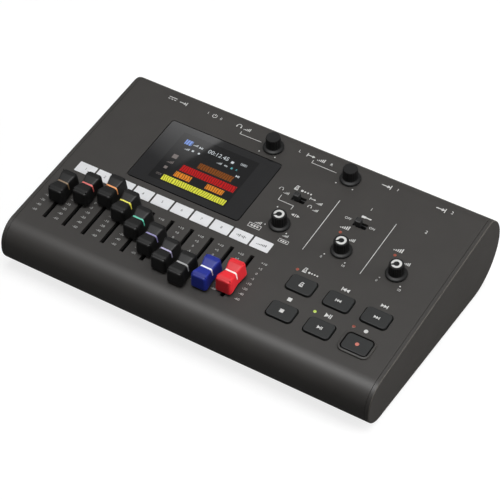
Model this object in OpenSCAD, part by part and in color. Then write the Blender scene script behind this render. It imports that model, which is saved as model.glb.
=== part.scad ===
// Digital multitrack recorder: a wedge-shaped desk-top case with faders, knobs, buttons and rear sockets.
// Lengths are in millimetres. The origin is under the middle of the case, on the surface that it stands on.
// Inside place(), y runs back from the front face and z runs up from the underside of the case.
// Inside on_panel(), y runs up the sloping panel from the front face and z stands square to the panel.

/* [Case] */
// Wall of the two shells
wall = 2.4; // [2:0.1:3]
// Height of the panel's plane at the front face
front_h = 32.9; // [31:0.1:38]
// Slope of the panel in degrees
tilt = 8.7; // [7:0.1:10]
// Radius of the nose's upper edge
nose_r = 16; // [13:0.5:18]
// Upright flat between the nose's two edges
nose_flat = 2.2; // [0.5:0.1:4]
// How far the tail's circle would rise over the panel
tail_over = 4.8; // [3:0.1:7]
// Radius that blends the panel into the tail
lip_r = 10; // [6:0.5:14]
// Thickness of the end cheeks
cheek_t = 3; // [2.5:0.1:4]
// Chamfer round the cheeks' outer face
cheek_edge = 1; // [0.4:0.1:1.5]
// Depth of the cheeks' locating rim
rim_deep = 6; // [4:0.5:7]
// Thickness of the locating rim
rim_t = 1.6; // [1.2:0.1:2]
// Seam between case pieces
seam = 0.25; // [0.15:0.05:0.4]
// Height of the feet under the case
foot_h = 2; // [1:0.1:4]
// Radius of the feet
foot_r = 7; // [5:0.5:8]
// How deep the feet sit in the tray
foot_pocket = 1; // [0.6:0.1:1.4]

/* [Faders] */
// Left end to the first fader
left_margin = 19.4; // [18:0.1:24]
// Distance between faders
fader_pitch = 15.3; // [14:0.1:18]
// Travel of a fader
fader_travel = 35; // [25:0.5:45]
// Front face to the front end of the slots
slot_margin = 22.6; // [20:0.1:30]
// Width of a slot in the panel
slot_w = 2.6; // [1.8:0.1:2.8]
// Thickness of a lever's tongue
tongue_t = 1.2; // [0.8:0.1:1.4]
// Length of a lever's tongue along its travel
tongue_len = 3; // [2:0.1:4]
// Play of a lever at the ends of its slot
slot_play = 0.5; // [0.3:0.1:1]
// Width of a fader's frame
frame_w = 8; // [7:0.1:9]
// Height of a fader's frame
frame_h = 6.9; // [6:0.1:8]
// Length of a cap at its foot
cap_len = 21.8; // [18:0.2:24]
// Width of a cap's ends at its foot
cap_w = 12; // [10:0.1:13]
// Height of a cap's ends over the panel
cap_top = 13.2; // [11:0.1:15]
// Depth of the valley across a cap
cap_valley = 1.8; // [0.5:0.1:3]
// Gap between a cap's foot and the panel
cap_gap = 1.5; // [1:0.1:4]

/* [Panel layout] */
// Last fader to the first column of buttons
bank_gap = 40.1; // [34:0.1:50]
// Distance between button columns
button_pitch = 27.1; // [25:0.1:32]
// Last button column to the right end
right_margin = 26.6; // [24:0.1:34]
// Front face to the first row of buttons
button_margin = 30.4; // [27:0.1:36]
// Distance between button rows
button_row = 24.6; // [20:0.1:30]
// Slots to the label strip
strip_gap = 6; // [4:0.1:10]
// Depth of the label strip
strip_h = 9; // [7:0.1:12]
// Space between two label cells
cell_gap = 1.4; // [0.8:0.1:2]
// Label strip to the window
window_gap = 5.3; // [3:0.1:9]
// Left end to the window
window_left = 45.5; // [40:0.5:50]
// Width of the window
window_w = 86.6; // [78:0.1:92]
// Depth of the window up the panel
window_h = 57.4; // [54:0.1:70]
// Thickness of the window's glass
window_t = 1.4; // [1.2:0.1:1.6]
// Window to the rear row of knobs
knob_gap = 4.3; // [1:0.1:8]
// Rear row of knobs to the tail
rear_margin = 29.8; // [28:0.1:36]
// Window to the balance column
balance_gap = 26.1; // [24:0.1:30]
// Balance column to the output knob
output_gap = 20.5; // [17:0.5:24]
// Phones knob in from the window's right edge
phones_in = 12.9; // [8:0.1:20]
// Window's front edge to the balance and gain knobs
gain_row = 11.2; // [9:0.1:14]
// Balance and gain knobs to the slide switches
switch_row = 25.2; // [22:0.1:30]
// Right end to the second input's column
input_margin = 33.2; // [31:0.1:38]
// Distance between the input columns
input_pitch = 40.2; // [36:0.1:44]

/* [Controls] */
// Width of a button
button_w = 18; // [15:0.1:20]
// Depth of a button
button_h = 12.6; // [10:0.1:15]
// Corner radius of a button
button_r = 2.5; // [1:0.1:4]
// How far a button stands proud
button_proud = 1.3; // [0.8:0.1:2.5]
// Travel of a button
button_travel = 0.7; // [0.4:0.1:0.9]
// Width of the raised ring round the record button
ring_w = 1.5; // [1:0.1:2]
// Height of that ring
ring_h = 0.9; // [0.5:0.1:1.2]
// Radius of a knob's skirt
skirt_r = 7.3; // [6.5:0.1:8]
// Height of a knob's skirt
skirt_h = 1.8; // [1:0.1:3]
// Radius of a knob's grip
grip_r = 5; // [4:0.1:5.5]
// Height of a knob over the panel
knob_h = 10.2; // [9:0.1:14]
// Number of flutes round a knob
flutes = 18; // [12:1:24]
// Radius of a knob's stem
stem_r = 2.95; // [2:0.05:3.2]
// Length of a slide switch's opening
switch_w = 9.6; // [8.6:0.1:11]
// Depth of a slide switch's opening
switch_h = 5.2; // [4.4:0.1:6]
// Size of a slide switch's nub
nub = 3.6; // [2.6:0.1:4]
// How far a panel nub stands proud
nub_proud = 3.6; // [1:0.1:5]
// Travel of a slide switch
switch_travel = 3; // [2:0.1:4]
// Radius of a status lamp
lamp_r = 1.1; // [0.8:0.1:1.5]

/* [Boards and sockets] */
// Thickness of the circuit boards
board_t = 1.6; // [1.2:0.1:2]
// Height of the main board over the underside
main_h = 15.4; // [13:0.1:17]
// Tail to the rear panel's outer face
plate_inset = 10.8; // [9.6:0.1:12]
// Thickness of the rear panel
plate_t = 2; // [1.5:0.1:2.5]
// Radius of a jack socket's bore
jack_r = 3.2; // [3.18:0.01:3.3]
// Depth of a jack socket's bore
jack_deep = 27; // [22:0.5:29]
// Radius of a jack socket's nose
jack_nose_r = 5.6; // [5:0.1:6.5]
// Width of a jack socket's housing
jack_box = 14; // [12:0.5:16]
// Length of a jack socket's housing
jack_len = 28; // [26:0.5:32]
// How far the jack noses stand out of the rear panel
jack_proud = 2; // [0.5:0.1:3]
// Side of a combined input socket
combo_box = 27; // [25:0.1:28]
// Length of a combined input socket
combo_len = 24; // [20:0.5:28]
// Radius of a combined socket's round face
combo_r = 11.8; // [11:0.1:12.2]
// Distance between the output jacks
output_pitch = 19.4; // [17:0.1:24]
// Left end to the USB, power, phones and output sockets
socket_from_left = [37.5, 68.6, 91.3, 147.7]; // [20:0.1:170]
// Width, length and thickness of the memory card
card = [24, 32, 2.1]; // [2:0.1:40]

/* [Battery bay] */
// Radius of a cell
cell_r = 7.25; // [5.25:0.05:7.4]
// Length of a cell
cell_len = 50.5; // [44:0.5:52]
// Play round each cell
cell_play = 0.3; // [0.2:0.05:0.6]
// Front face to the bay
bay_front = 28; // [26:0.5:32]
// Walls of the bay
bay_wall = 1.6; // [1.4:0.1:2]
// Thickness of the battery contacts
contact_t = 1.5; // [0.8:0.1:2]
// Thickness of the battery door
door_t = 2; // [1.6:0.1:2.4]
// Radius of the door's hinge knuckle
knuckle_r = 1.6; // [1.4:0.05:1.8]
// Radius of the door's hinge pins
pin_r = 0.8; // [0.6:0.05:1]

/* [Hidden] */
$fn = 48;
// Fits: a sliding clearance, a running clearance on a radius, and a loose one that moving faces keep
slide_fit = 0.3;
running_fit = 0.05;
loose_fit = 0.5;
overcut = 1;
columns = 3;
faders = 10;
cells = 4;
// Share of its travel at which each fader stands, from the front
fader_set = [0.63, 0.81, 0.98, 0.79, 0.56, 0.34, 0.16, 0.03, 0.16, 0.30];

// Panel rows, measured up the slope from the front face
slot_len = fader_travel + tongue_len + 2 * slot_play;
slot_v = slot_margin + slot_len / 2;
strip_v = slot_margin + slot_len + strip_gap + strip_h / 2;
window_front = strip_v + strip_h / 2 + window_gap;
window_v = window_front + window_h / 2;
gain_v = window_front + gain_row;
switch_v = gain_v + switch_row;
rear_v = window_front + window_h + knob_gap + skirt_r;

// Overall size and columns
body_w = left_margin + (faders - 1) * fader_pitch + bank_gap + (columns - 1) * button_pitch + right_margin;
body_d = rear_v * cos(tilt) + rear_margin;
left_x = -body_w / 2;
right_x = body_w / 2;
window_x = left_x + window_left + window_w / 2;
balance_x = left_x + window_left + window_w + balance_gap;
phones_x = left_x + window_left + window_w - phones_in;
output_x = balance_x + output_gap;
usb_x = left_x + socket_from_left[0];
power_x = left_x + socket_from_left[1];
jack_xs = [left_x + socket_from_left[2],
    left_x + socket_from_left[3] - output_pitch / 2,
    left_x + socket_from_left[3] + output_pitch / 2];
function fader_x(k) = left_x + left_margin + k * fader_pitch;
function button_x(c) = right_x - right_margin - (columns - 1 - c) * button_pitch;
function input_x(i) = right_x - input_margin - (1 - i) * input_pitch;

// Side profile: nose, sloping panel, lip and tail as tangent arcs
shell_x = body_w / 2 - cheek_t - seam;
nose_top = [nose_r, front_h + nose_r * tan(tilt) - nose_r / cos(tilt)];
nose_low_r = nose_top[1] - nose_flat;
nose_low = [nose_low_r, nose_low_r];
tail_r = (front_h * cos(tilt) + body_d * sin(tilt) + tail_over) / (1 + cos(tilt) + sin(tilt));
tail = [body_d - tail_r, tail_r];
panel_a = 90 + tilt;
lip_a = panel_a - acos((tail_r - tail_over - lip_r) / (tail_r - lip_r));
lip = tail + (tail_r - lip_r) * [cos(lip_a), sin(lip_a)];
part_a = 240;
tail_end_a = 45;
arc_step = 9;
function arc(c, r, a0, a1) = let (steps = ceil(abs(a1 - a0) / arc_step))
    [for (i = [0:steps]) let (a = a0 + (a1 - a0) * i / steps) c + r * [cos(a), sin(a)]];
function reversed(list) = [for (i = [len(list) - 1:-1:0]) list[i]];
function top_path(inset) = concat(
    arc(nose_low, nose_low_r - inset, part_a, 180),
    arc(nose_top, nose_r - inset, 180, panel_a),
    arc(lip, lip_r - inset, panel_a, lip_a),
    arc(tail, tail_r - inset, lip_a, tail_end_a));
function base_path(inset) = concat(
    arc(nose_low, nose_low_r - inset, part_a + part_gap_a, 270),
    arc(tail, tail_r - inset, 270, 360 - tail_end_a));
part_gap_a = seam / nose_low_r * 180 / PI;
function profile(inset) = concat(
    arc(nose_low, nose_low_r - inset, 270, 180),
    arc(nose_top, nose_r - inset, 180, panel_a),
    arc(lip, lip_r - inset, panel_a, lip_a),
    arc(tail, tail_r - inset, lip_a, -90));
function panel_h(y) = front_h + y * tan(tilt);
function rounded(w, h, r) = concat(
    arc([w / 2 - r, h / 2 - r], r, 0, 90),
    arc([r - w / 2, h / 2 - r], r, 90, 180),
    arc([r - w / 2, r - h / 2], r, 180, 270),
    arc([w / 2 - r, r - h / 2], r, 270, 360));

// Levels under the panel
frame_gap = 0.6;
board_n = -(wall + frame_gap + frame_h);
frame_over = 21;
frame_len = fader_travel + frame_over;
frame_wall = 1;
carriage = [frame_w - 2 * frame_wall - 2 * slide_fit, 7, 4];
cap_roof = 1.4;
tongue_top = cap_top - cap_valley - cap_roof;
flange_over = 1;
flange_t = 1.3;
stem_short = 0.4;
stem_deep = -board_n - stem_short;
collar_h = 1.8;
lamp_proud = 0.35;

// Boards, posts and screws
plate_out = body_d - plate_inset;
plate_in = plate_out - plate_t;
plate_half = sqrt(pow(tail_r - wall, 2) - pow(plate_out - tail[0], 2)) - slide_fit / 2;
main_top = main_h + board_t;
main_lead = 6;
main_front = gain_v * cos(tilt) + main_lead;
main_back = plate_in - loose_fit;
main_side = 11.5;
main_left = left_x + main_side;
main_right = right_x - main_side;
card_box = [27.5, 25.5, 3.6];
card_lift = 1.8;
socket_z = main_top + combo_box / 2;
board_past_switch = 14;
panel_board_rear = switch_v + board_past_switch;
// The board's tab under the rear knobs: its two sides and its rear end
tab_side = 10;
tab_back = 8;
panel_tab = [phones_x - tab_side, output_x + tab_side, rear_v + tab_back];
post_r = 2.8;
post_in = 5;
post_back = 6;
post_side = 14;
pilot_r = 1.2;
boss_r = 4.2;
boss_top = 12.8;
head_r = 2.6;
head_h = 2;
head_seat = 8;
screw_grip = 9;
board_post_r = 2.4;
board_post_in = 13;
balance_post = 16;
post_up = 8;
sill = 1;
board_edge = 4;
panel_board_front = nose_low_r - post_r - board_edge;
panel_board_side = 11;
board_screw_r = 0.9;
board_head = [2, 1.3];
board_screw_grip = 5;
case_posts = [
    [(fader_x(0) + fader_x(1)) / 2, nose_low_r],
    [(fader_x(faders - 1) + button_x(0)) / 2, nose_low_r],
    [(button_x(1) + button_x(2)) / 2, nose_low_r],
    [(fader_x(0) + fader_x(1)) / 2, gain_v * cos(tilt)],
    [(balance_x + input_x(0)) / 2, gain_v * cos(tilt)],
    [right_x - post_side, gain_v * cos(tilt)]];
board_posts = [
    [fader_x(0), window_front + sill],
    [fader_x(0), switch_v + post_up],
    [(fader_x(faders - 1) + button_x(0)) / 2, slot_v],
    [balance_x - balance_post, switch_v + post_up],
    [right_x - board_post_in, button_margin + button_row / 2],
    [right_x - board_post_in, switch_v + post_up]];
main_posts = [
    [main_left + card_box[1] + post_in, main_front + post_in],
    [0, main_front + post_in],
    [main_right - post_side, main_front + post_in],
    [(usb_x + power_x) / 2, main_back - post_back],
    [(jack_xs[2] + jack_box / 2 + input_x(0) - combo_box / 2) / 2, main_back - post_back],
    [(input_x(0) + input_x(1)) / 2, main_back - post_back]];
knob_places = [[phones_x, rear_v], [output_x, rear_v], [balance_x, gain_v],
    [input_x(0), gain_v], [input_x(1), gain_v]];
switch_places = [[balance_x, switch_v], [input_x(0), switch_v]];
lamp_dx = -9.2;
lamp_gap = 4.3;
lamp_dy = button_h / 2 + lamp_gap;
peak_dx = -8.4;
peak_dy = 13.5;
lamp_places = [
    [button_x(0) + lamp_dx, button_margin + button_row + lamp_dy],
    [button_x(1) + lamp_dx, button_margin + lamp_dy],
    [button_x(2) + lamp_dx, button_margin + lamp_dy + ring_w],
    [input_x(0) + peak_dx, gain_v + peak_dy],
    [input_x(1) + peak_dx, gain_v + peak_dy]];
foot_side = 17;
foot_front = 34;
foot_back = 44;
feet_x = [left_x + foot_side, right_x - foot_side];
feet_y = [foot_front, body_d - foot_back];

// Battery bay
bay_w = 2 * cells * cell_r + (cells + 1) * cell_play;
bay_len = cell_len + 2 * contact_t;
knuckle_play = 0.8;
knuckle_zone = 2 * knuckle_r + knuckle_play;
hinge_y = bay_front + bay_len + knuckle_zone / 2;
hinge_lift = 0.1;
hinge_z = knuckle_r + hinge_lift;
cell_z = door_t + loose_fit + cell_r;
bay_roof = cell_z + cell_r + cell_play;
contact_size = 9;

// Memory card and its socket
card_back = 20;
card_y = main_front + card_back;
card_z = main_top + card_lift;

KNOBS = ["phones_knob", "output_knob", "balance_knob", "gain_knob_1", "gain_knob_2"];
BUTTONS = ["stop_button", "play_button", "record_button",
    "metronome_button", "rewind_button", "forward_button"];

// Puts children in the case's own frame, at the front face and the underside
module place() translate([0, -body_d / 2, foot_h]) children();

// Puts children on the sloping panel, z square to it
module on_panel(p = [0, 0])
    place() translate([0, 0, front_h]) rotate([tilt, 0, 0]) translate([p[0], p[1], 0]) children();

// A side outline run from x0 to x1
module slab(points, x0, x1)
    translate([x0, 0, 0]) rotate([90, 0, 90]) linear_extrude(x1 - x0) polygon(points);

// A cut right through the panel, from the outline given as children
module panel_cut(p) on_panel(p) translate([0, 0, -wall - overcut])
    linear_extrude(wall + 3 * overcut) children();

// A block with its middle in x, from y0 to y1 and z0 to z1
module block(w, y0, y1, z0, z1) translate([-w / 2, y0, z0]) cube([w, y1 - y0, z1 - z0]);

// A round bar along y
module bar_y(r, y0, y1) translate([0, y0, 0]) rotate([-90, 0, 0]) cylinder(r = r, h = y1 - y0);

function button_place(i) = [button_x(i % columns), button_margin + floor(i / columns) * button_row];

module top_shell() color("dimgray") difference() {
    union() {
        place() slab(concat(top_path(0), reversed(top_path(wall))), -shell_x, shell_x);
        place() for (p = case_posts)
            translate([p[0], p[1], boss_top]) cylinder(r = post_r, h = panel_h(p[1]) - wall / 2 - boss_top);
        for (p = board_posts) on_panel(p) translate([0, 0, board_n])
            cylinder(r = board_post_r, h = -board_n - wall / 2);
        on_panel(button_place(2)) translate([0, 0, -wall / 2]) linear_extrude(wall / 2 + ring_h)
            polygon(rounded(button_w + 2 * ring_w + 2 * slide_fit, button_h + 2 * ring_w + 2 * slide_fit,
                button_r + ring_w));
    }
    place() for (p = case_posts)
        translate([p[0], p[1], boss_top - overcut]) cylinder(r = pilot_r, h = screw_grip + 2 * overcut);
    for (p = board_posts) on_panel(p)
        translate([0, 0, board_n - overcut])
            cylinder(r = board_screw_r + running_fit, h = board_screw_grip + overcut + loose_fit);
    for (k = [0:faders - 1]) panel_cut([fader_x(k), slot_v]) square([slot_w, slot_len], center = true);
    for (i = [0:len(BUTTONS) - 1])
        panel_cut(button_place(i))
            polygon(rounded(button_w + 2 * slide_fit, button_h + 2 * slide_fit, button_r + slide_fit));
    for (p = knob_places) panel_cut(p) circle(r = stem_r + loose_fit);
    for (p = switch_places) panel_cut(p) square([switch_w, switch_h], center = true);
    for (p = lamp_places) panel_cut(p) circle(r = lamp_r + slide_fit / 2);
    on_panel([window_x, window_v]) translate([0, 0, -wall / 2]) linear_extrude(wall)
        polygon(rounded(window_w + slide_fit, window_h + slide_fit, window_r + slide_fit / 2));
    panel_cut([window_x, window_v])
        square([display[0] + 2 * slide_fit, display[1] + 2 * slide_fit], center = true);
}
window_r = 2;
display = [60, 46, 3.4];

module bottom_shell() color("#2b2b2b") place() difference() {
    union() {
        slab(concat(base_path(0), reversed(base_path(wall))), -shell_x, shell_x);
        for (p = case_posts) translate([p[0], p[1], wall / 2]) cylinder(r = boss_r, h = boss_top - wall / 2);
        for (p = main_posts) translate([p[0], p[1], wall / 2]) cylinder(r = post_r, h = main_h - wall / 2);
        block(bay_w + 2 * bay_wall, bay_front - bay_wall, bay_front + bay_len + knuckle_zone + bay_wall,
            wall / 2, bay_roof + bay_wall);
    }
    for (p = case_posts) translate([p[0], p[1], -overcut]) {
        cylinder(r = pilot_r + slide_fit, h = boss_top + 2 * overcut);
        cylinder(r = head_r + slide_fit, h = head_seat + overcut);
    }
    for (p = main_posts) translate([p[0], p[1], main_h - board_screw_grip])
        cylinder(r = board_screw_r + running_fit, h = board_screw_grip + overcut);
    for (x = feet_x, y = feet_y) translate([x, y, -overcut])
        cylinder(r = foot_r + slide_fit / 2, h = foot_pocket + overcut);
    block(bay_w, bay_front, bay_front + bay_len, -overcut, bay_roof);
    block(bay_w, bay_front + bay_len - overcut, bay_front + bay_len + knuckle_zone, -overcut,
        hinge_z + knuckle_r + slide_fit);
    translate([-bay_w / 2 - bay_wall + slide_fit, hinge_y, hinge_z]) rotate([0, 90, 0])
        cylinder(r = pin_r + running_fit, h = bay_w + 2 * bay_wall - 2 * slide_fit);
}

// An end plate with a chamfered outer edge and a rim that the shells slip over; side is -1 left or 1 right
module cheek(side) place() mirror([side < 0 ? 1 : 0, 0, 0]) {
    hull() {
        slab(profile(0), right_x - cheek_t, right_x - cheek_edge);
        slab(profile(cheek_edge), right_x - cheek_t, right_x);
    }
    difference() {
        slab(profile(wall + slide_fit / 2), right_x - cheek_t - rim_deep, right_x - cheek_t);
        slab(profile(wall + slide_fit / 2 + rim_t), right_x - cheek_t - rim_deep - overcut, right_x - cheek_t);
        translate([0, plate_in - overcut, -overcut]) cube([right_x - cheek_t, body_d, body_d]);
    }
}

module left_cheek() color("#3c3b39") difference() {
    cheek(-1);
    place() translate([left_x - overcut, card_y - card[0] / 2 - slide_fit, card_z - card[2] / 2 - slide_fit])
        cube([cheek_t + 2 * overcut, card[0] + 2 * slide_fit, card[2] + 2 * slide_fit]);
}

module right_cheek() color("#3c3b39") cheek(1);

module rear_panel() color("#232323") place() difference() {
    block(2 * shell_x, plate_in, plate_out, tail[1] - plate_half, tail[1] + plate_half);
    for (x = jack_xs) translate([x, 0, socket_z])
        bar_y(jack_nose_r + slide_fit / 2, plate_in - overcut, plate_out + overcut);
    for (i = [0:1]) translate([input_x(i), 0, socket_z])
        bar_y(combo_r + slide_fit / 2, plate_in - overcut, plate_out + overcut);
    translate([usb_x, 0, main_top])
        block(usb[0] + 2 * slide_fit, plate_in - overcut, plate_out + overcut, -slide_fit, usb[2] + slide_fit);
    translate([power_x, 0, power_z])
        block(switch_w, plate_in - overcut, plate_out + overcut, -switch_h / 2, switch_h / 2);
}
usb = [9, 8, 3.3];
usb_wall = 0.4;
usb_back = 1.5;
usb_tongue = [6.7, 0.7];
power_box = [13, 9, 9.5];
power_back = 2;
power_z = main_top + power_box[2] / 2;

module feet() color("#181818") place() for (x = feet_x, y = feet_y)
    translate([x, y, -foot_h]) cylinder(r = foot_r, h = foot_h + foot_pocket);

module screws() color("silver") {
    place() for (p = case_posts) translate([p[0], p[1], head_seat]) {
        translate([0, 0, -head_h]) cylinder(r = head_r, h = head_h);
        cylinder(r = pilot_r - running_fit, h = boss_top - head_seat + screw_grip);
    }
    place() for (p = main_posts) translate([p[0], p[1], main_top]) {
        cylinder(r = board_head[0], h = board_head[1]);
        translate([0, 0, -board_t - board_screw_grip + loose_fit])
            cylinder(r = board_screw_r, h = board_t + board_screw_grip);
    }
    for (p = board_posts) on_panel(p) translate([0, 0, board_n - board_t]) {
        translate([0, 0, -board_head[1]]) cylinder(r = board_head[0], h = board_head[1]);
        cylinder(r = board_screw_r, h = board_t + board_screw_grip);
    }
}

module battery_door() color("#2b2b2b") place() {
    block(bay_w - 2 * slide_fit, bay_front + slide_fit, hinge_y, 0, door_t);
    translate([-bay_w / 2 + slide_fit, hinge_y, hinge_z]) rotate([0, 90, 0])
        cylinder(r = knuckle_r, h = bay_w - 2 * slide_fit);
    translate([-bay_w / 2 - bay_wall + 2 * slide_fit, hinge_y, hinge_z]) rotate([0, 90, 0])
        cylinder(r = pin_r, h = bay_w + 2 * bay_wall - 4 * slide_fit);
}

function cell_x(i) = -bay_w / 2 + cell_play + cell_r + i * (2 * cell_r + cell_play);

module battery_cells() color("#8a6a3a") place()
    for (i = [0:cells - 1]) translate([cell_x(i), bay_front + contact_t, cell_z]) {
        bar_y(cell_r, cell_tip * (i % 2), cell_len - cell_tip * (1 - i % 2));
        bar_y(cell_tip_r, 0, cell_len);
    }
cell_tip = 1;
cell_tip_r = 2.75;

module battery_contacts() color("lightgray") place()
    for (i = [0:cells - 1], y = [bay_front, bay_front + contact_t + cell_len])
        translate([cell_x(i), 0, cell_z])
            block(contact_size, y, y + contact_t, -contact_size / 2, contact_size / 2);

module screen_window() color("#0c0c0e") on_panel([window_x, window_v]) translate([0, 0, -wall / 2])
    linear_extrude(window_t) polygon(rounded(window_w, window_h, window_r));

module display_module() color("#30363c") on_panel([window_x, window_v])
    translate([-display[0] / 2, -display[1] / 2, -wall / 2 - display[2]]) cube(display);

module label_strip() color("white") for (k = [0:faders - 1]) on_panel([fader_x(k), strip_v])
    linear_extrude(label_t) square([fader_pitch - cell_gap, strip_h], center = true);
label_t = 0.2;

// Steel channel with a long slot that the lever runs in
module fader_frames() color("silver") for (k = [0:faders - 1]) on_panel([fader_x(k), slot_v]) difference() {
    block(frame_w, -frame_len / 2, frame_len / 2, board_n, board_n + frame_h);
    block(frame_w - 2 * frame_wall, frame_wall - frame_len / 2, frame_len / 2 - frame_wall,
        board_n + frame_wall, board_n + frame_h - frame_wall);
    block(slot_w, -slot_len / 2, slot_len / 2, board_n + frame_wall, board_n + frame_h + overcut);
}

function fader_v(k) = slot_v + (fader_set[k] - 0.5) * fader_travel;

module fader_lever(k) color("gainsboro") on_panel([fader_x(k), fader_v(k)]) {
    block(tongue_t, -tongue_len / 2, tongue_len / 2, board_n + frame_wall + slide_fit, tongue_top);
    block(carriage[0], -carriage[1] / 2, carriage[1] / 2, board_n + frame_wall + slide_fit,
        board_n + frame_wall + slide_fit + carriage[2]);
}

// Waisted cap: two crowned halves that fall to a valley, over a socket for the lever
cap_draft = 0.6;
cap_end_w = cap_w - 2 * cap_draft;
waist_in = 1.4;
valley_in = 2.4;
waist_w = cap_w - waist_in;
valley_w = waist_w - valley_in;
function cap_ring(end_w, mid_w, len, end_z, mid_z) = [
    [-end_w / 2, -len / 2, end_z], [end_w / 2, -len / 2, end_z], [mid_w / 2, 0, mid_z],
    [end_w / 2, len / 2, end_z], [-end_w / 2, len / 2, end_z], [-mid_w / 2, 0, mid_z]];
cap_faces = [
    [0, 1, 2, 5], [5, 2, 3, 4], [0, 6, 7, 1], [3, 9, 10, 4],
    [6, 11, 8, 7], [11, 10, 9, 8],
    [1, 7, 8], [1, 8, 2], [3, 2, 8], [3, 8, 9],
    [0, 5, 11], [0, 11, 6], [4, 10, 11], [4, 11, 5]];
module fader_cap(k) color(k == 8 ? "#2c3c96" : k == 9 ? "#d83a3e" : "#1b1b1b")
    on_panel([fader_x(k), fader_v(k)]) difference() {
        polyhedron(concat(
            cap_ring(cap_w, waist_w, cap_len, cap_gap, cap_gap),
            cap_ring(cap_end_w, valley_w, cap_len - 2 * cap_draft, cap_top, cap_top - cap_valley)), cap_faces);
        block(tongue_t + slide_fit, -tongue_len / 2 - slide_fit / 2, tongue_len / 2 + slide_fit / 2,
            cap_gap - overcut, tongue_top);
    }

// Fluted grip on a skirt, with the stem that turns in the potentiometer
module knob(i) color("#202020") on_panel(knob_places[i]) {
    translate([0, 0, loose_fit]) cylinder(r = skirt_r, h = skirt_h);
    difference() {
        translate([0, 0, loose_fit]) cylinder(r1 = grip_r, r2 = grip_r - grip_taper, h = knob_h - loose_fit);
        for (f = [0:flutes - 1]) rotate(f * 360 / flutes)
            translate([grip_r + flute_out, 0, loose_fit + skirt_h + flute_start])
                cylinder(r = flute_r, h = knob_h, $fn = 16);
    }
    translate([0, 0, -stem_deep]) cylinder(r = stem_r, h = stem_deep + loose_fit + overcut);
}
flute_r = 0.55;
flute_out = 0.22;
flute_start = 0.3;
grip_taper = 0.2;

pot = [10, 11];
collar_t = 1.4;
module pot_bodies() color("#5a6a5a") for (p = knob_places) on_panel(p) difference() {
    union() {
        block(pot[0], -pot[1] / 2, pot[1] / 2, board_n, -wall - slide_fit - collar_h);
        translate([0, 0, -wall - slide_fit - collar_h]) cylinder(r = stem_r + collar_t, h = collar_h);
    }
    translate([0, 0, -stem_deep - stem_short / 2]) cylinder(r = stem_r + running_fit, h = stem_deep + overcut);
}

module push_button(i) color(i == 2 ? "#2a2a2a" : "#2e2e2e") on_panel(button_place(i)) {
    translate([0, 0, -wall - slide_fit - flange_t / 2])
        linear_extrude(wall + slide_fit + flange_t / 2 + button_proud)
            polygon(rounded(button_w, button_h, button_r));
    translate([0, 0, -wall - slide_fit - flange_t]) linear_extrude(flange_t)
        polygon(rounded(button_w + 2 * flange_over, button_h + 2 * flange_over, button_r + flange_over));
    block(plunger, -plunger / 2, plunger / 2,
        tact_top + button_travel + slide_fit, -wall - slide_fit - flange_t);
}
tact = [6.2, 3.5, 0.4];
tact_r = 1.7;
plunger = 5;
tact_top = board_n + tact[1] + tact[2];

module tact_switches() color("#3a3a3a") for (i = [0:len(BUTTONS) - 1]) on_panel(button_place(i)) {
    block(tact[0], -tact[0] / 2, tact[0] / 2, board_n, board_n + tact[1]);
    translate([0, 0, board_n + tact[1]]) cylinder(r = tact_r, h = tact[2]);
}

// Housings: a block with a trough that a nub slides in
trough_w = nub + switch_travel + 2 * slide_fit;
switch_wall = 1.5;
trough_floor = board_n + switch_wall;
module switch_bodies() color("#4a4a4a") {
    for (p = switch_places) on_panel(p) difference() {
        block(trough_w + 2 * switch_wall, -nub / 2 - switch_wall, nub / 2 + switch_wall,
            board_n, -wall - slide_fit);
        block(trough_w, -nub / 2 - slide_fit, nub / 2 + slide_fit, trough_floor, overcut);
    }
    place() translate([power_x, 0, main_top]) difference() {
        block(power_box[0], plate_in - slide_fit - power_box[1], plate_in - slide_fit, 0, power_box[2]);
        translate([0, 0, power_box[2] / 2])
            block(trough_w, plate_in - slide_fit - power_box[1] + power_back, plate_in + overcut,
                -nub / 2 - slide_fit, nub / 2 + slide_fit);
    }
}

// A panel switch's nub, at the left end of its travel
module panel_slider(i) color("#151515") on_panel(switch_places[i]) translate([-switch_travel / 2, 0, 0])
    block(nub, -nub / 2, nub / 2, trough_floor + slide_fit, nub_proud);

module power_slider() color("#151515") place() translate([power_x - switch_travel / 2, 0, power_z])
    block(nub, plate_in - power_box[1] + power_back, plate_out + nub_proud, -nub / 2, nub / 2);

module status_lamps() color("tomato") for (p = lamp_places) on_panel(p)
    translate([0, 0, board_n]) cylinder(r = lamp_r, h = lamp_proud - board_n);

module panel_board() color("#1f5a3a") difference() {
    on_panel() {
        translate([left_x + panel_board_side, panel_board_front, board_n - board_t])
            cube([body_w - 2 * panel_board_side, panel_board_rear - panel_board_front, board_t]);
        translate([panel_tab[0], panel_board_rear - overcut, board_n - board_t])
            cube([panel_tab[1] - panel_tab[0], panel_tab[2] - panel_board_rear + overcut, board_t]);
    }
    place() for (p = case_posts) translate([p[0], p[1], 0]) cylinder(r = post_r + loose_fit, h = body_d);
    for (p = board_posts) on_panel(p) translate([0, 0, board_n - board_t - overcut])
        cylinder(r = board_screw_r + slide_fit / 2, h = board_t + 2 * overcut);
}

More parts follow.
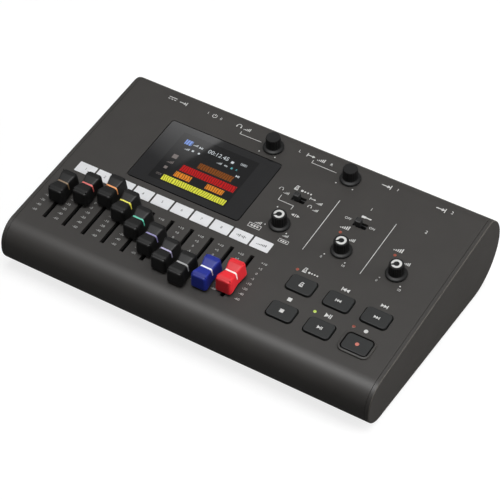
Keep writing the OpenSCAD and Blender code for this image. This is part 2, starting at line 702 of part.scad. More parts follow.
// Main board with its processor, memory and two capacitors; a chip is its x, its distance back and its side
sink = 0.1;
chips = [[-20, 22, 16], [6, 22, 10], [30, 20, 12]];
chip_h = 1.5;
capacitor_xs = [-64, -54];
capacitor_in = 16;
capacitor_r = 4;
capacitor_h = 11;
module main_board() color("#1f5a3a") place() {
    difference() {
        translate([main_left, main_front, main_h]) cube([main_right - main_left, main_back - main_front, board_t]);
        for (p = main_posts) translate([p[0], p[1], main_h - overcut])
            cylinder(r = board_screw_r + slide_fit / 2, h = board_t + 2 * overcut);
    }
    for (c = chips) translate([c[0], main_front + c[1], main_top - sink]) cube([c[2], c[2], chip_h]);
    for (x = capacitor_xs) translate([x, main_front + capacitor_in, main_top - sink])
        cylinder(r = capacitor_r, h = capacitor_h);
}

// Jack socket: a housing on the main board and a round nose through the rear panel, bored for a plug
module jack_sockets() color("#1c1c1c") place() for (x = jack_xs) translate([x, 0, 0]) difference() {
    union() {
        block(jack_box, plate_in - jack_len, plate_in, main_top, socket_z + jack_box / 2);
        translate([0, 0, socket_z]) bar_y(jack_nose_r, plate_in - overcut, plate_out + jack_proud);
    }
    translate([0, 0, socket_z])
        bar_y(jack_r, plate_out + jack_proud - jack_deep, plate_out + jack_proud + overcut);
}

// Combined socket: a jack bore in the middle of a three-pin socket with a ring groove for its shell
groove = [7.9, 9.7, 12];
contact_pin = [5.6, 1.2, 12];
combo_proud = 0.8;
combo_short = 2;
module combo_sockets() color("#1c1c1c") place()
    for (i = [0:1]) translate([input_x(i), 0, socket_z]) difference() {
        face = plate_out + combo_proud;
        union() {
            block(combo_box, plate_in - combo_len, plate_in, -combo_box / 2, combo_box / 2);
            bar_y(combo_r, plate_in - overcut, face);
        }
        bar_y(jack_r, face - jack_deep + combo_short, face + overcut);
        difference() {
            bar_y(groove[1], face - groove[2], face + overcut);
            bar_y(groove[0], face - groove[2] - overcut, face + 2 * overcut);
        }
        for (a = [90, 210, 330]) translate([contact_pin[0] * cos(a), 0, contact_pin[0] * sin(a)])
            bar_y(contact_pin[1], face - contact_pin[2], face + overcut);
    }

module usb_socket() color("silver") place() translate([usb_x, 0, main_top]) {
    difference() {
        block(usb[0], plate_out - usb[1], plate_out, 0, usb[2]);
        block(usb[0] - 2 * usb_wall, plate_out - usb[1] + usb_back, plate_out + overcut,
            usb_wall, usb[2] - usb_wall);
    }
    block(usb_tongue[0], plate_out - usb[1] + overcut, plate_out - overcut,
        (usb[2] - usb_tongue[1]) / 2, (usb[2] + usb_tongue[1]) / 2);
}

module card_socket() color("silver") place() difference() {
    translate([main_left, card_y - card_box[0] / 2, main_top]) cube([card_box[1], card_box[0], card_box[2]]);
    translate([left_x, card_y - card[0] / 2 - slide_fit, card_z - card[2] / 2 - slide_fit])
        cube([card[1] + 2 * slide_fit, card[0] + 2 * slide_fit, card[2] + 2 * slide_fit]);
}

module memory_card() color("#1d2f55") place()
    translate([left_x + slide_fit, card_y - card[0] / 2, card_z - card[2] / 2]) cube([card[1], card[0], card[2]]);

top_shell();
bottom_shell();
left_cheek();
right_cheek();
rear_panel();
feet();
screws();
battery_door();
battery_cells();
battery_contacts();
screen_window();
display_module();
label_strip();
fader_frames();
pot_bodies();
tact_switches();
switch_bodies();
status_lamps();
panel_board();
main_board();
combo_sockets();
jack_sockets();
usb_socket();
card_socket();
memory_card();
panel_slider(0);  // click_slider
panel_slider(1);  // input_slider
power_slider();
for (i = [0:len(KNOBS) - 1]) knob(i);
for (i = [0:len(BUTTONS) - 1]) push_button(i);
for (k = [0:faders - 1]) fader_lever(k);
for (k = [0:faders - 1]) fader_cap(k);
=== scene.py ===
"""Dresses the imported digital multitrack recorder: case, controls, screen, print and rear sockets."""

import math

import bmesh
import bpy
from bpy.props import FloatProperty, FloatVectorProperty, IntProperty, PointerProperty
from mathutils import Matrix, Vector


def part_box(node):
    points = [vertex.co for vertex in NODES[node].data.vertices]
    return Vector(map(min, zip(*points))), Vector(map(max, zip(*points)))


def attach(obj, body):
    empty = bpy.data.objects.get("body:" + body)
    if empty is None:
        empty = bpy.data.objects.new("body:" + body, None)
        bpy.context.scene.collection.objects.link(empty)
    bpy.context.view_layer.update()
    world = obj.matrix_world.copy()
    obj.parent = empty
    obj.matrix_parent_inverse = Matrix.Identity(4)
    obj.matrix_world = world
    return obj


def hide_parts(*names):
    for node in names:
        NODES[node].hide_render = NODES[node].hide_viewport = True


bl_info = {
    "name": "Multitrack recorder",
    "version": (1, 0, 0),
    "blender": (4, 5, 0),
    "location": "View3D > Sidebar > Recorder",
    "description": "Models and finishes a desk-top multitrack recorder on its CAD frame",
    "category": "Object",
}

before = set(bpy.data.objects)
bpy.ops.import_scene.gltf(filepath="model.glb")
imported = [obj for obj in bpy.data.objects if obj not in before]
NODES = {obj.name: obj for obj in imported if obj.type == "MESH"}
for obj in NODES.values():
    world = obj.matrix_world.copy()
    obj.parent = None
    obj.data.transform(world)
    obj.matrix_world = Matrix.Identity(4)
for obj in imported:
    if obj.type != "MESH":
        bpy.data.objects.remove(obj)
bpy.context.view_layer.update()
MM = 0.001
NEAR = 0.001 * MM
FADERS = 10
KNOBS = ("phones_knob", "output_knob", "balance_knob", "gain_knob_1", "gain_knob_2")
POINTED_KNOBS = KNOBS[2:]
BUTTONS = ("stop_button", "play_button", "record_button", "metronome_button", "rewind_button",
           "forward_button")
SWITCHES = ("click_slider", "input_slider")
# Status lamps: name, the control that each belongs to, and the way from there across and up the panel
LAMPS = (("metronome", "metronome_button", -9.2 * MM, 10.6 * MM),
         ("play", "play_button", -9.2 * MM, 10.6 * MM),
         ("record", "record_button", -9.2 * MM, 12.1 * MM),
         ("peak_1", "gain_knob_1", -8.4 * MM, 13.5 * MM),
         ("peak_2", "gain_knob_2", -8.4 * MM, 13.5 * MM))
# The colour sockets of a Mix node, which share their names with its other kinds
MIX_A, MIX_B, MIX_OUT = 6, 7, 2
WHITE = (1, 1, 1, 1)


def srgb(red, green, blue):
    """A display colour from 0 to 255 as the linear colour that shaders take."""
    shares = [c / 255 for c in (red, green, blue)]
    return tuple(((s + 0.055) / 1.055) ** 2.4 if s > 0.04045 else s / 12.92 for s in shares)


def length(name, about, value):
    """A length that a user may change, given in millimetres."""
    return FloatProperty(name=name, description=about, default=value * MM, unit="LENGTH")


def tone(name, about, *value):
    """A colour that a user may change, given from 0 to 255."""
    return FloatVectorProperty(name=name, description=about, default=srgb(*value), subtype="COLOR")


def power(name, about, value):
    """A lamp's power that a user may change, given in watts."""
    return FloatProperty(name=name, description=about, default=value, unit="POWER")


class CaseSizes(bpy.types.PropertyGroup):
    """Sizes of the case, which follow the solids."""

    wall: length("Wall", "Thickness of the shells", 2.4)
    front: length("Front height", "Height of the panel's plane at the front face", 32.9)
    slope: FloatProperty(name="Slope", description="Slope of the panel", unit="ROTATION",
                         default=math.radians(8.7))
    nose: length("Nose radius", "Radius of the nose's upper edge", 16)
    nose_flat: length("Nose flat", "Upright flat between the nose's two edges", 2.2)
    tail_over: length("Tail rise", "How far the tail's circle would rise over the panel", 4.8)
    lip: length("Lip radius", "Radius that blends the panel into the tail", 10)
    cheek: length("Cheek", "Thickness of the end cheeks", 3)
    cheek_edge: length("Cheek edge", "Rounding of the cheeks' outer edge", 0.9)
    # The paler band on the cheeks' edge is a painted highlight, standing in for the light that the edge
    # catches
    highlight_half_width: length("Highlight width", "Half the width of the paler band on the cheeks' edge", 0.3)
    seam: length("Seam", "Gap between shells and cheeks", 0.25)
    foot: length("Foot height", "Height of the feet under the case", 2)
    edge: length("Edge", "Softening of moulded edges", 0.3)
    glass_wide: length("Window width", "Width of the window's glass", 86.9)
    glass_deep: length("Window depth", "Depth of the window's glass", 57.4)
    glass_gap: length("Window gap", "Gap round the window's glass", 0.65)
    ring_wide: length("Ring width", "Width of the raised ring round the record button", 22.8)
    ring_deep: length("Ring depth", "Depth of the raised ring round the record button", 17.4)
    ring_band: length("Ring band", "Breadth of the raised ring's band", 1.5)
    ring_top: length("Ring height", "Height of the raised ring over the panel", 1.3)


class ControlSizes(bpy.types.PropertyGroup):
    """Sizes of the controls and the print."""

    slot_wide: length("Slot width", "Width of a fader slot", 3.0)
    slot_long: length("Slot length", "Length of a fader slot", 39)
    slot_v: length("Slot place", "Middle of the slots up the panel", 42.1)
    cap_wide: length("Cap width", "Width of a fader cap's foot", 12)
    cap_long: length("Cap length", "Length of a fader cap's foot", 21.8)
    cap_foot: length("Cap foot", "Gap between a fader cap and the panel", 1.5)
    cap_top: length("Cap top", "Height of a fader cap over the panel", 13.2)
    cap_soft: length("Cap edge", "Softening of a fader cap's edges", 1.2)
    cap_line: length("Cap line", "Width of the line across a cap", 1.1)
    skirt: length("Knob skirt", "Radius of a knob's skirt", 7.3)
    flutes: IntProperty(name="Flutes", description="Flutes round a knob", default=18)
    flute: length("Flute depth", "Depth of a knob's flutes", 0.32)
    key_wide: length("Button width", "Width of a push button", 18)
    key_deep: length("Button depth", "Depth of a push button", 12.6)
    key_round: length("Button corner", "Radius of a push button's corners", 2.5)
    key_top: length("Button height", "Height of a push button over the panel", 1.3)
    key_soft: length("Button edge", "Rounding of a button's edge", 0.4)
    key_gap: length("Button gap", "Gap round a push button", 0.8)
    record_gap: length("Record gap", "Gap round the record button", 0.9)
    nub_wide: length("Nub width", "Width of a slide switch's nub", 4.6)
    nub_deep: length("Nub depth", "Depth of a slide switch's nub", 4.2)
    nub_top: length("Nub height", "Height of a slide switch's nub over the panel", 4.8)
    lamp: length("Lamp", "Radius of a status lamp", 1.1)
    cell_wide: length("Cell width", "Width of a write-on cell", 13.9)
    cell_deep: length("Cell depth", "Depth of a write-on cell", 9)
    ink: length("Ink", "Thickness of printed marks", 0.03)
    line: length("Line", "Width of printed lines", 0.42)


class FinishColours(bpy.types.PropertyGroup):
    """Colours of the finishes."""

    case: tone("Case", "Moulded case", 55, 53, 51)
    # Colour of the painted highlight along the cheeks' outer edge
    painted_edge_highlight: tone("Highlight edge", "Outer edge of the cheeks", 78, 75, 71)
    cheek: tone("Cheeks", "End cheeks", 56, 54, 52)
    base: tone("Base", "Lower tray", 44, 43, 42)
    button: tone("Buttons", "Push buttons", 38, 39, 39)
    black: tone("Black", "Knobs and caps", 21, 21, 21)
    blue: tone("Blue", "Ninth fader cap", 36, 48, 140)
    red: tone("Red", "Tenth fader cap", 226, 48, 56)
    ink: tone("Print", "White print", 205, 205, 203)
    label: tone("Labels", "Write-on cells", 220, 221, 223)


class StageSizes(bpy.types.PropertyGroup):
    """Camera and light."""

    eye: FloatVectorProperty(name="Eye", description="Place of the camera", subtype="XYZ", unit="LENGTH",
                             default=(0.48044, -0.8586, 0.8900))
    aim: FloatVectorProperty(name="Back", description="Direction from the object to the camera",
                             subtype="XYZ", default=(0.3658, -0.6533, 0.6629))
    rise: FloatVectorProperty(name="Up", description="Up in the picture", subtype="XYZ",
                              default=(-0.3707, 0.5510, 0.7476))
    lens: FloatProperty(name="Lens", description="Focal length in millimetres", unit="CAMERA",
                        default=142.19)
    key: power("Key", "Power of the front soft box", 2.0)
    top: power("Top", "Power of the overhead soft box", 19.0)
    side: power("Side", "Power of the right-hand soft box", 6.2)
    strip: power("Strip", "Power of the strip that gleams along the nose", 84.0)
    rim: power("Rim", "Power of the box that gleams along the right edge", 2.5)
    back: power("Back light", "Power of the soft box behind the sockets", 6.0)
    fill: FloatProperty(name="Fill", description="Strength of the room's light", subtype="FACTOR",
                        default=0.1)


def case_sizes():
    """The case's sizes in the open scene."""
    return bpy.context.scene.recorder_case


def control_sizes():
    """The controls' sizes in the open scene."""
    return bpy.context.scene.recorder_controls


def colours():
    """The finish colours in the open scene."""
    return bpy.context.scene.recorder_colours


def bare():
    """Leaves edit mode and deselects everything."""
    if bpy.context.mode != "OBJECT":
        bpy.ops.object.mode_set(mode="OBJECT")
    bpy.ops.object.select_all(action="DESELECT")


def only(obj):
    """Makes one object the selected and active one."""
    bare()
    obj.select_set(True)
    bpy.context.view_layer.objects.active = obj


def settle(obj, name=None):
    """Puts an object's place into its mesh, so that it sits at the origin."""
    only(obj)
    if name:
        obj.name = name
        obj.data.name = name
    bpy.ops.object.transform_apply(location=True, rotation=True, scale=True)
    return obj


def block(name, low, high):
    """A box between two corners."""
    low, high = Vector(low), Vector(high)
    bare()
    bpy.ops.mesh.primitive_cube_add(size=1, location=(low + high) / 2)
    obj = bpy.context.active_object
    obj.scale = high - low
    return settle(obj, name)


def drum(name, radius, low, high, sides=48):
    """A round bar that stands on z, from low to high."""
    bare()
    bpy.ops.mesh.primitive_cylinder_add(vertices=sides, radius=radius, depth=high - low,
                                        location=(0, 0, (low + high) / 2))
    return settle(bpy.context.active_object, name)


def editing(obj):
    """Opens an object for editing with nothing selected."""
    only(obj)
    bpy.ops.object.mode_set(mode="EDIT")
    bpy.ops.mesh.select_all(action="DESELECT")


def everything():
    """Selects all of the open mesh."""
    bpy.ops.mesh.select_all(action="SELECT")


def pick(obj, kind, test):
    """Selects the vertices, edges or faces of the open mesh that pass a test."""
    bpy.ops.mesh.select_mode(type=kind)
    bpy.ops.mesh.select_all(action="DESELECT")
    mesh = bmesh.from_edit_mesh(obj.data)
    group = {"VERT": mesh.verts, "EDGE": mesh.edges, "FACE": mesh.faces}[kind]
    for part in group:
        if test(part):
            part.select_set(True)
    mesh.select_flush_mode()
    bmesh.update_edit_mesh(obj.data)


def extrude(x=0.0, y=0.0, z=0.0):
    """Extrudes what is selected of the open mesh."""
    bpy.ops.mesh.extrude_region_move(TRANSFORM_OT_translate={"value": (x, y, z)})


def round_edges(radius, steps):
    """Rounds the selected edges of the open mesh."""
    bpy.ops.mesh.bevel(offset=radius, segments=steps, affect="EDGES", offset_type="OFFSET")


def face_out():
    """Turns all faces of the open mesh outward."""
    everything()
    bpy.ops.mesh.normals_make_consistent(inside=False)


def level(edge, height):
    """True for an edge that lies at one height."""
    return all(abs(v.co.z - height) < NEAR for v in edge.verts)


def upright(edge):
    """True for an edge that stands along z."""
    a, b = edge.verts[0].co, edge.verts[1].co
    return abs(a.x - b.x) < NEAR and abs(a.y - b.y) < NEAR


def rounded_block(name, wide, deep, low, high, radius, steps=8):
    """A block about the z axis whose upright corners are rounded."""
    obj = block(name, (-wide / 2, -deep / 2, low), (wide / 2, deep / 2, high))
    editing(obj)
    pick(obj, "EDGE", upright)
    round_edges(radius, steps)
    bare()
    return obj


def soften(obj, height, radius, steps=3):
    """Rounds the rim that lies at one height."""
    editing(obj)
    pick(obj, "EDGE", lambda e: level(e, height))
    round_edges(radius, steps)
    bare()
    return obj


def apply_modifier(obj, kind, **values):
    """Adds a modifier, sets it and applies it."""
    only(obj)
    bpy.ops.object.modifier_add(type=kind)
    modifier = obj.modifiers[-1]
    for key, value in values.items():
        setattr(modifier, key, value)
    bpy.ops.object.modifier_apply(modifier=modifier.name)
    return obj


def soften_edges(obj, width, angle, steps=2):
    """Softens every edge that turns by more than an angle in degrees."""
    return apply_modifier(obj, "BEVEL", width=width, segments=steps, limit_method="ANGLE",
                          angle_limit=math.radians(angle), use_clamp_overlap=True)


def in_row(obj, count, step):
    """Repeats a mesh along x."""
    return apply_modifier(obj, "ARRAY", count=count, use_relative_offset=False, use_constant_offset=True,
                          constant_offset_displace=(step, 0, 0))


def drop(obj):
    """Removes a tool, or a pattern once its copies are made."""
    only(obj)
    bpy.ops.object.delete()


def cut(obj, tool):
    """Cuts one mesh out of another and removes the tool."""
    apply_modifier(obj, "BOOLEAN", operation="DIFFERENCE", solver="EXACT", object=tool)
    drop(tool)
    return obj


def join(pieces, name):
    """Makes one mesh of several."""
    bare()
    for piece in pieces:
        piece.select_set(True)
    bpy.context.view_layer.objects.active = pieces[0]
    if len(pieces) > 1:
        bpy.ops.object.join()
    return settle(pieces[0], name)


def twin(obj, name):
    """A copy with its own mesh."""
    only(obj)
    bpy.ops.object.duplicate(linked=False)
    copy = bpy.context.active_object
    copy.name = name
    copy.data.name = name
    return copy


def smooth(obj, angle=35):
    """Smooths the shading except over sharp edges, and keeps flats flat."""
    only(obj)
    bpy.ops.object.shade_smooth_by_angle(angle=math.radians(angle))
    return apply_modifier(obj, "WEIGHTED_NORMAL", mode="FACE_AREA", weight=60, keep_sharp=True)


def refined(node, name, edge=0.25 * MM):
    """A copy of a solid with clean faces, softened edges and smooth curves."""
    piece = twin(NODES[node], name)
    piece.parent = None
    settle(piece)
    editing(piece)
    everything()
    bpy.ops.mesh.remove_doubles(threshold=NEAR)
    bpy.ops.mesh.dissolve_limited(angle_limit=math.radians(0.5))
    bare()
    return smooth(soften_edges(piece, edge, 35))


def depth_of_case():
    """Front face to tail, from the cheeks' box."""
    low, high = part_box("right_cheek")
    return high.y - low.y


def to_case(y, z):
    """A point of the side outline, from the front face and the underside, in the shared frame."""
    return Vector((0, y - depth_of_case() / 2, z + case_sizes().foot))


def panel_frame():
    """The panel's own axes: x across, y up the slope from the front face, z square to it."""
    case = case_sizes()
    return Matrix.Translation(to_case(0, case.front)) @ Matrix.Rotation(case.slope, 4, "X")


def on_panel(obj, x=0.0, v=0.0, turn=0.0):
    """Sets a mesh made about the origin on the sloping panel."""
    only(obj)
    obj.matrix_world = panel_frame() @ Matrix.Translation((x, v, 0)) @ Matrix.Rotation(turn, 4, "Z")
    return settle(obj)


def on_rear(obj, x=0.0, z=0.0):
    """Sets a mesh made about the origin on the rear plate, where its x runs to the left end."""
    only(obj)
    turn = Matrix(((-1, 0, 0), (0, 0, 1), (0, 1, 0))).to_4x4()
    obj.matrix_world = Matrix.Translation((x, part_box("rear_panel")[1].y, z)) @ turn
    return settle(obj)


def panel_spot(node):
    """Where a node's middle lies on the panel, as x and distance up the slope."""
    back = panel_frame().inverted()
    points = [back @ v.co for v in NODES[node].data.vertices]
    middle = (Vector(map(min, *points)) + Vector(map(max, *points))) / 2
    return middle.x, middle.y


def lamp_spots():
    """Each status lamp's name and its place on the panel."""
    return [(name, tuple(Vector(panel_spot(control)) + Vector(way))) for name, control, *way in LAMPS]


def window_spot():
    """Where the window's glass and its pocket lie on the panel, a little off the solid's middle."""
    x, v = panel_spot("screen_window")
    return x + 0.4 * MM, v + 0.25 * MM


def fader_row():
    """Where the first fader stands across the panel, and the step to the next."""
    first = panel_spot("fader_cap_1")[0]
    return first, (panel_spot(f"fader_cap_{FADERS}")[0] - first) / (FADERS - 1)


def give(obj, material, slot, *nodes, body="case"):
    """Gives a piece its material and body, and hides the nodes that it stands for. The slot argument is not
    used.
    """
    obj.data.materials.clear()
    obj.data.materials.append(material)
    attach(obj, body)
    if nodes:
        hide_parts(*nodes)


def new_material(name):
    """An empty node material and its tree."""
    material = bpy.data.materials.new(name)
    material.use_nodes = True
    return material, material.node_tree


def set_inputs(node, **values):
    """Sets a shader node's inputs by name, with _ for a space."""
    for key, value in values.items():
        node.inputs[key.replace("_", " ")].default_value = value
    return node


def add_node(tree, kind, **values):
    """Adds a shader node and sets its inputs."""
    return set_inputs(tree.nodes.new("ShaderNode" + kind), **values)


def wire(tree, *links):
    """Joins shader nodes: each link is a node, its output, the next node and its input."""
    for source, out, target, into in links:
        tree.links.new(source.outputs[out], target.inputs[into])


def finish(name, colour, rough, grain=2600.0, bump=0.12, mottle=0.10, metallic=0.0, specular=0.5, coat=0.0,
           glow=0.0, spread=0.08):
    """A moulded or printed finish: fine grain in the surface, slow drift in colour and uneven gloss."""
    known = bpy.data.materials.get(name + "_finish")
    if known:
        return known
    material, tree = new_material(name + "_finish")
    shader = set_inputs(tree.nodes["Principled BSDF"], Metallic=metallic, Specular_IOR_Level=specular,
                        Coat_Weight=coat, Coat_Roughness=0.04)
    where = add_node(tree, "TexCoord")
    fine = add_node(tree, "TexNoise", Scale=grain, Detail=3.0, Roughness=0.6)
    slow = add_node(tree, "TexNoise", Scale=55.0, Detail=4.0, Roughness=0.55)
    tint = add_node(tree, "ValToRGB")
    for stop, place, share in zip(tint.color_ramp.elements, (0.3, 0.7), (1 - mottle, 1 + mottle)):
        stop.position = place
        stop.color = (*[min(1, c * share) for c in colour], 1)
    gloss = add_node(tree, "MapRange", To_Min=max(0.02, rough - spread), To_Max=min(1.0, rough + spread))
    wire(tree, (where, "Object", fine, "Vector"), (where, "Object", slow, "Vector"),
         (slow, "Fac", tint, "Fac"), (tint, "Color", shader, "Base Color"), (fine, "Fac", gloss, "Value"),
         (gloss, "Result", shader, "Roughness"))
    if bump:
        relief = add_node(tree, "Bump", Strength=bump, Distance=0.06 * MM)
        wire(tree, (fine, "Fac", relief, "Height"), (relief, "Normal", shader, "Normal"))
    if glow:
        set_inputs(shader, Emission_Strength=glow)
        wire(tree, (tint, "Color", shader, "Emission Color"))
    return material


def tint_mix(material, target, blend="MIX"):
    """Puts a colour mix between a finish's tint and one input of its shader."""
    tree = material.node_tree
    fade = add_node(tree, "Mix")
    fade.data_type, fade.blend_type = "RGBA", blend
    wire(tree, (tree.nodes["Color Ramp"], "Color", fade, MIX_A),
         (fade, MIX_OUT, tree.nodes["Principled BSDF"], target))
    return tree, fade


def case_finish(name="case_plastic", colour=None):
    """The case's moulded plastic, in its own colour or another."""
    if colour is None:
        colour = colours().case
    return finish(name, colour, 0.5, grain=2300, bump=0.15, mottle=0.05, specular=0.12)


def cheek_finish():
    """The case's plastic, with a painted highlight: a paler band along the cheeks' rounded outer edge."""
    known = bpy.data.materials.get("cheek_plastic_finish")
    if known:
        return known
    material = case_finish("cheek_plastic", colours().cheek)
    tree, fade = tint_mix(material, "Base Color")
    fade.inputs[MIX_B].default_value = (*colours().painted_edge_highlight, 1)
    # Mask of the painted highlight: a thin band round the middle of the cheeks' outer rounding, measured
    # across the case
    split, across, off = [add_node(tree, kind) for kind in ("SeparateXYZ", "Math", "Math")]
    across.operation, off.operation = "ABSOLUTE", "COMPARE"
    off.inputs[1].default_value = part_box("right_cheek")[1].x - case_sizes().cheek_edge / 2
    off.inputs[2].default_value = case_sizes().highlight_half_width
    wire(tree, (tree.nodes["Texture Coordinate"], "Object", split, "Vector"), (split, "X", across, 0),
         (across, "Value", off, 0), (off, "Value", fade, "Factor"))
    return material


def base_finish():
    """The tray's rougher plastic."""
    return finish("base_plastic", colours().base, 0.6, grain=1700, bump=0.3, mottle=0.07, specular=0.18)


def black_finish():
    """The knobs' plastic."""
    return finish("knob_black", colours().black, 0.5, grain=3200, bump=0.1, mottle=0.12, specular=0.09)


def cap_finish(name, colour, mottle, specular):
    """The fader caps' plastic."""
    return finish(name, colour, 0.45, grain=3000, bump=0.12, mottle=mottle, specular=specular)


def ink_finish(name="print_white", colour=None):
    """White print, or print of another colour."""
    if colour is None:
        colour = colours().ink
    return finish(name, colour, 0.7, grain=3000, bump=0.05, mottle=0.04, specular=0.2)


def glass_finish(name, colour, mottle):
    """Dark glass that reflects little."""
    return finish(name, colour, 0.03, grain=300, bump=0, mottle=mottle, specular=0.11, spread=0.01)


def socket_finish():
    """The sockets' plastic."""
    return finish("socket_black", srgb(24, 24, 25), 0.5, grain=2200, bump=0.15, mottle=0.08)


def metal_finish(name, colour, rough, grain=1500, bump=0.06, mottle=0.08):
    """Bare or plated metal."""
    return finish(name, colour, rough, grain=grain, bump=bump, mottle=mottle, metallic=1.0)


def steel_finish():
    """Steel sheet."""
    return metal_finish("steel", srgb(176, 178, 180), 0.32, grain=1800, bump=0.1, mottle=0.06)


def screen_finish(name, colour, comb=0.0):
    """A glowing screen colour, crossed by fine dark ticks as in a waveform where comb says how dark."""
    material = finish(name, colour, 0.03, grain=600, bump=0, mottle=0.05, specular=0.06, spread=0.01,
                      glow=0.95)
    tree = material.node_tree
    base = tree.nodes["Principled BSDF"].inputs["Base Color"]
    tree.links.remove(base.links[0])
    base.default_value = (0.01, 0.01, 0.01, 1)
    if comb:
        tree, fade = tint_mix(material, "Emission Color", "MULTIPLY")
        set_inputs(fade, Factor=1.0)
        ticks = add_node(tree, "TexWave", Scale=180.0, Distortion=6.0, Detail=2.0)
        lines = add_node(tree, "MapRange", From_Max=0.5, To_Min=1 - comb)
        wire(tree, (tree.nodes["Texture Coordinate"], "Object", ticks, "Vector"),
             (ticks, "Fac", lines, "Value"), (lines, "Result", fade, MIX_B))
    return material


def outline_arcs(kind):
    """The side outline's arcs as centre, radius and angles, for the top shell or a whole cheek."""
    case = case_sizes()
    deep, slope = depth_of_case(), case.slope
    nose_z = case.front + case.nose * math.tan(slope) - case.nose / math.cos(slope)
    low_r = nose_z - case.nose_flat
    tail_r = (case.front * math.cos(slope) + deep * math.sin(slope) + case.tail_over) / (
        1 + math.cos(slope) + math.sin(slope))
    panel_a = math.pi / 2 + slope
    lip_a = panel_a - math.acos((tail_r - case.tail_over - case.lip) / (tail_r - case.lip))
    tail = Vector((deep - tail_r, tail_r))
    lip = tail + (tail_r - case.lip) * Vector((math.cos(lip_a), math.sin(lip_a)))
    low, nose = Vector((low_r, low_r)), Vector((case.nose, nose_z))
    start, end = (240, 45) if kind == "top" else (270, -90)
    return [(low, low_r, math.radians(start), math.pi), (nose, case.nose, math.pi, panel_a),
            (lip, case.lip, panel_a, lip_a), (tail, tail_r, lip_a, math.radians(end))]


def draw_outline(name, arcs, x):
    """Draws arcs as one chain of edges at x. Each is spun from its start, and straight runs join them."""
    aside, step = Vector((x, 0, 0)), math.radians(3)

    def point(arc, angle):
        centre, radius = arc[:2]
        return to_case(centre.x + radius * math.cos(angle), centre.y + radius * math.sin(angle)) + aside

    bare()
    bpy.ops.mesh.primitive_plane_add(size=0.01)
    obj = bpy.context.active_object
    obj.name = obj.data.name = name
    bpy.ops.object.mode_set(mode="EDIT")
    bpy.ops.mesh.select_mode(type="VERT")
    everything()
    bpy.ops.mesh.merge(type="CENTER")
    at = point(arcs[0], arcs[0][2])
    bpy.ops.transform.translate(value=at)
    for arc in arcs:
        centre, _, first, last = arc
        run = point(arc, first) - at
        if run.length > NEAR:
            extrude(*run)
        steps = max(2, math.ceil(abs(last - first) / step))
        bpy.ops.mesh.spin(steps=steps, angle=first - last, center=to_case(*centre) + aside, axis=(1, 0, 0),
                          dupli=False)
        at = point(arc, last)
    return obj


def opening(spot, wide, deep, corner, steps=6):
    """A tool that cuts a square-set opening through the panel."""
    through = 2 * case_sizes().wall
    return on_panel(rounded_block("tool", wide, deep, -through, through, corner, steps), *spot)


def round_opening(spot, radius, sides=48):
    """A tool that cuts a round opening through the panel."""
    through = 2 * case_sizes().wall
    return on_panel(drum("tool", radius, -through, through, sides), *spot)


# What each printed symbol is drawn with, about its middle and in units of its size
LEFT, RIGHT = math.pi / 2, -math.pi / 2
SYMBOLS = {
    "stop": [("bar", 0, 0, 1.7, 1.7)],
    "play": [("dot", -0.5, 0, 1.15, 3, RIGHT), ("bar", 0.75, 0, 0.4, 1.9), ("bar", 1.45, 0, 0.4, 1.9)],
    "record": [("dot", 0, 0, 0.95, 28)],
    "rewind": [*[("dot", x, 0, 0.95, 3, LEFT) for x in (0.85, -0.45)], ("bar", -1.5, 0, 0.35, 1.7)],
    "forward": [*[("dot", x, 0, 0.95, 3, RIGHT) for x in (-0.85, 0.45)], ("bar", 1.5, 0, 0.35, 1.7)],
    "metronome": [("bar", 0, -1.1, 2.0, 0.7), ("bar", -0.62, 0.2, 0.4, 2.6, -0.2),
                  ("bar", 0.62, 0.2, 0.4, 2.6, 0.2), ("bar", 0, 1.4, 0.95, 0.4),
                  ("bar", 0.3, 0.35, 0.3, 2.6, -0.5)],
    "phones": [("bow", 0, -0.1, 1.1, 0, 180, 0.3), *[("bar", x, -0.5, 0.55, 1.0) for x in (-1.1, 1.1)]],
    "power": [("bow", 0, 0, 1.05, -235, 55, 0.3, 14), ("bar", 0, 0.75, 0.3, 1.2)],
    "direct": [("bar", 0, 0.45, 3.4, 0.3), *[("bar", x, -0.45, 0.8, 0.3) for x in (-1.25, 0, 1.25)]],
    "out": [("bar", -0.4, 0, 2.2, 0.35), ("dot", 1.0, 0, 0.75, 3, RIGHT), ("bar", -1.7, 0, 0.32, 1.9)],
    "in": [("bar", -0.4, 0, 2.2, 0.35), ("dot", 1.0, 0, 0.75, 3, RIGHT), ("bar", 1.8, 0, 0.32, 1.9)],
    "level": [("bar", 0.75 * (k - 3), 0.2 * k - 0.8, 0.42, 0.4 * k) for k in range(1, 6)],
    "balance": [("dot", -1.1, 0, 0.85, 3, LEFT), ("dot", 1.1, 0, 0.85, 3, RIGHT), ("bar", 0, 0, 0.3, 1.7)],
    "plug": [("bar", -1.3, 0, 1.9, 1.2), ("bar", 0.7, 0, 2.2, 0.6), ("dot", 2.0, 0, 0.45)],
    "beats": [("dot", 1.3 * (k - 1.5), 0, 0.38 if k else 0.55) for k in range(4)],
    "boxed": [*[("bar", 0, v, 6.6, 0.3) for v in (-1.15, 1.15)],
              *[("bar", x, 0, 0.3, 2.3) for x in (-3.15, 3.15)],
              *[("bar", x, 0, 1.1, 0.9) for x in (-1.5, 1.5)], ("dot", 0, 0, 0.6)],
}


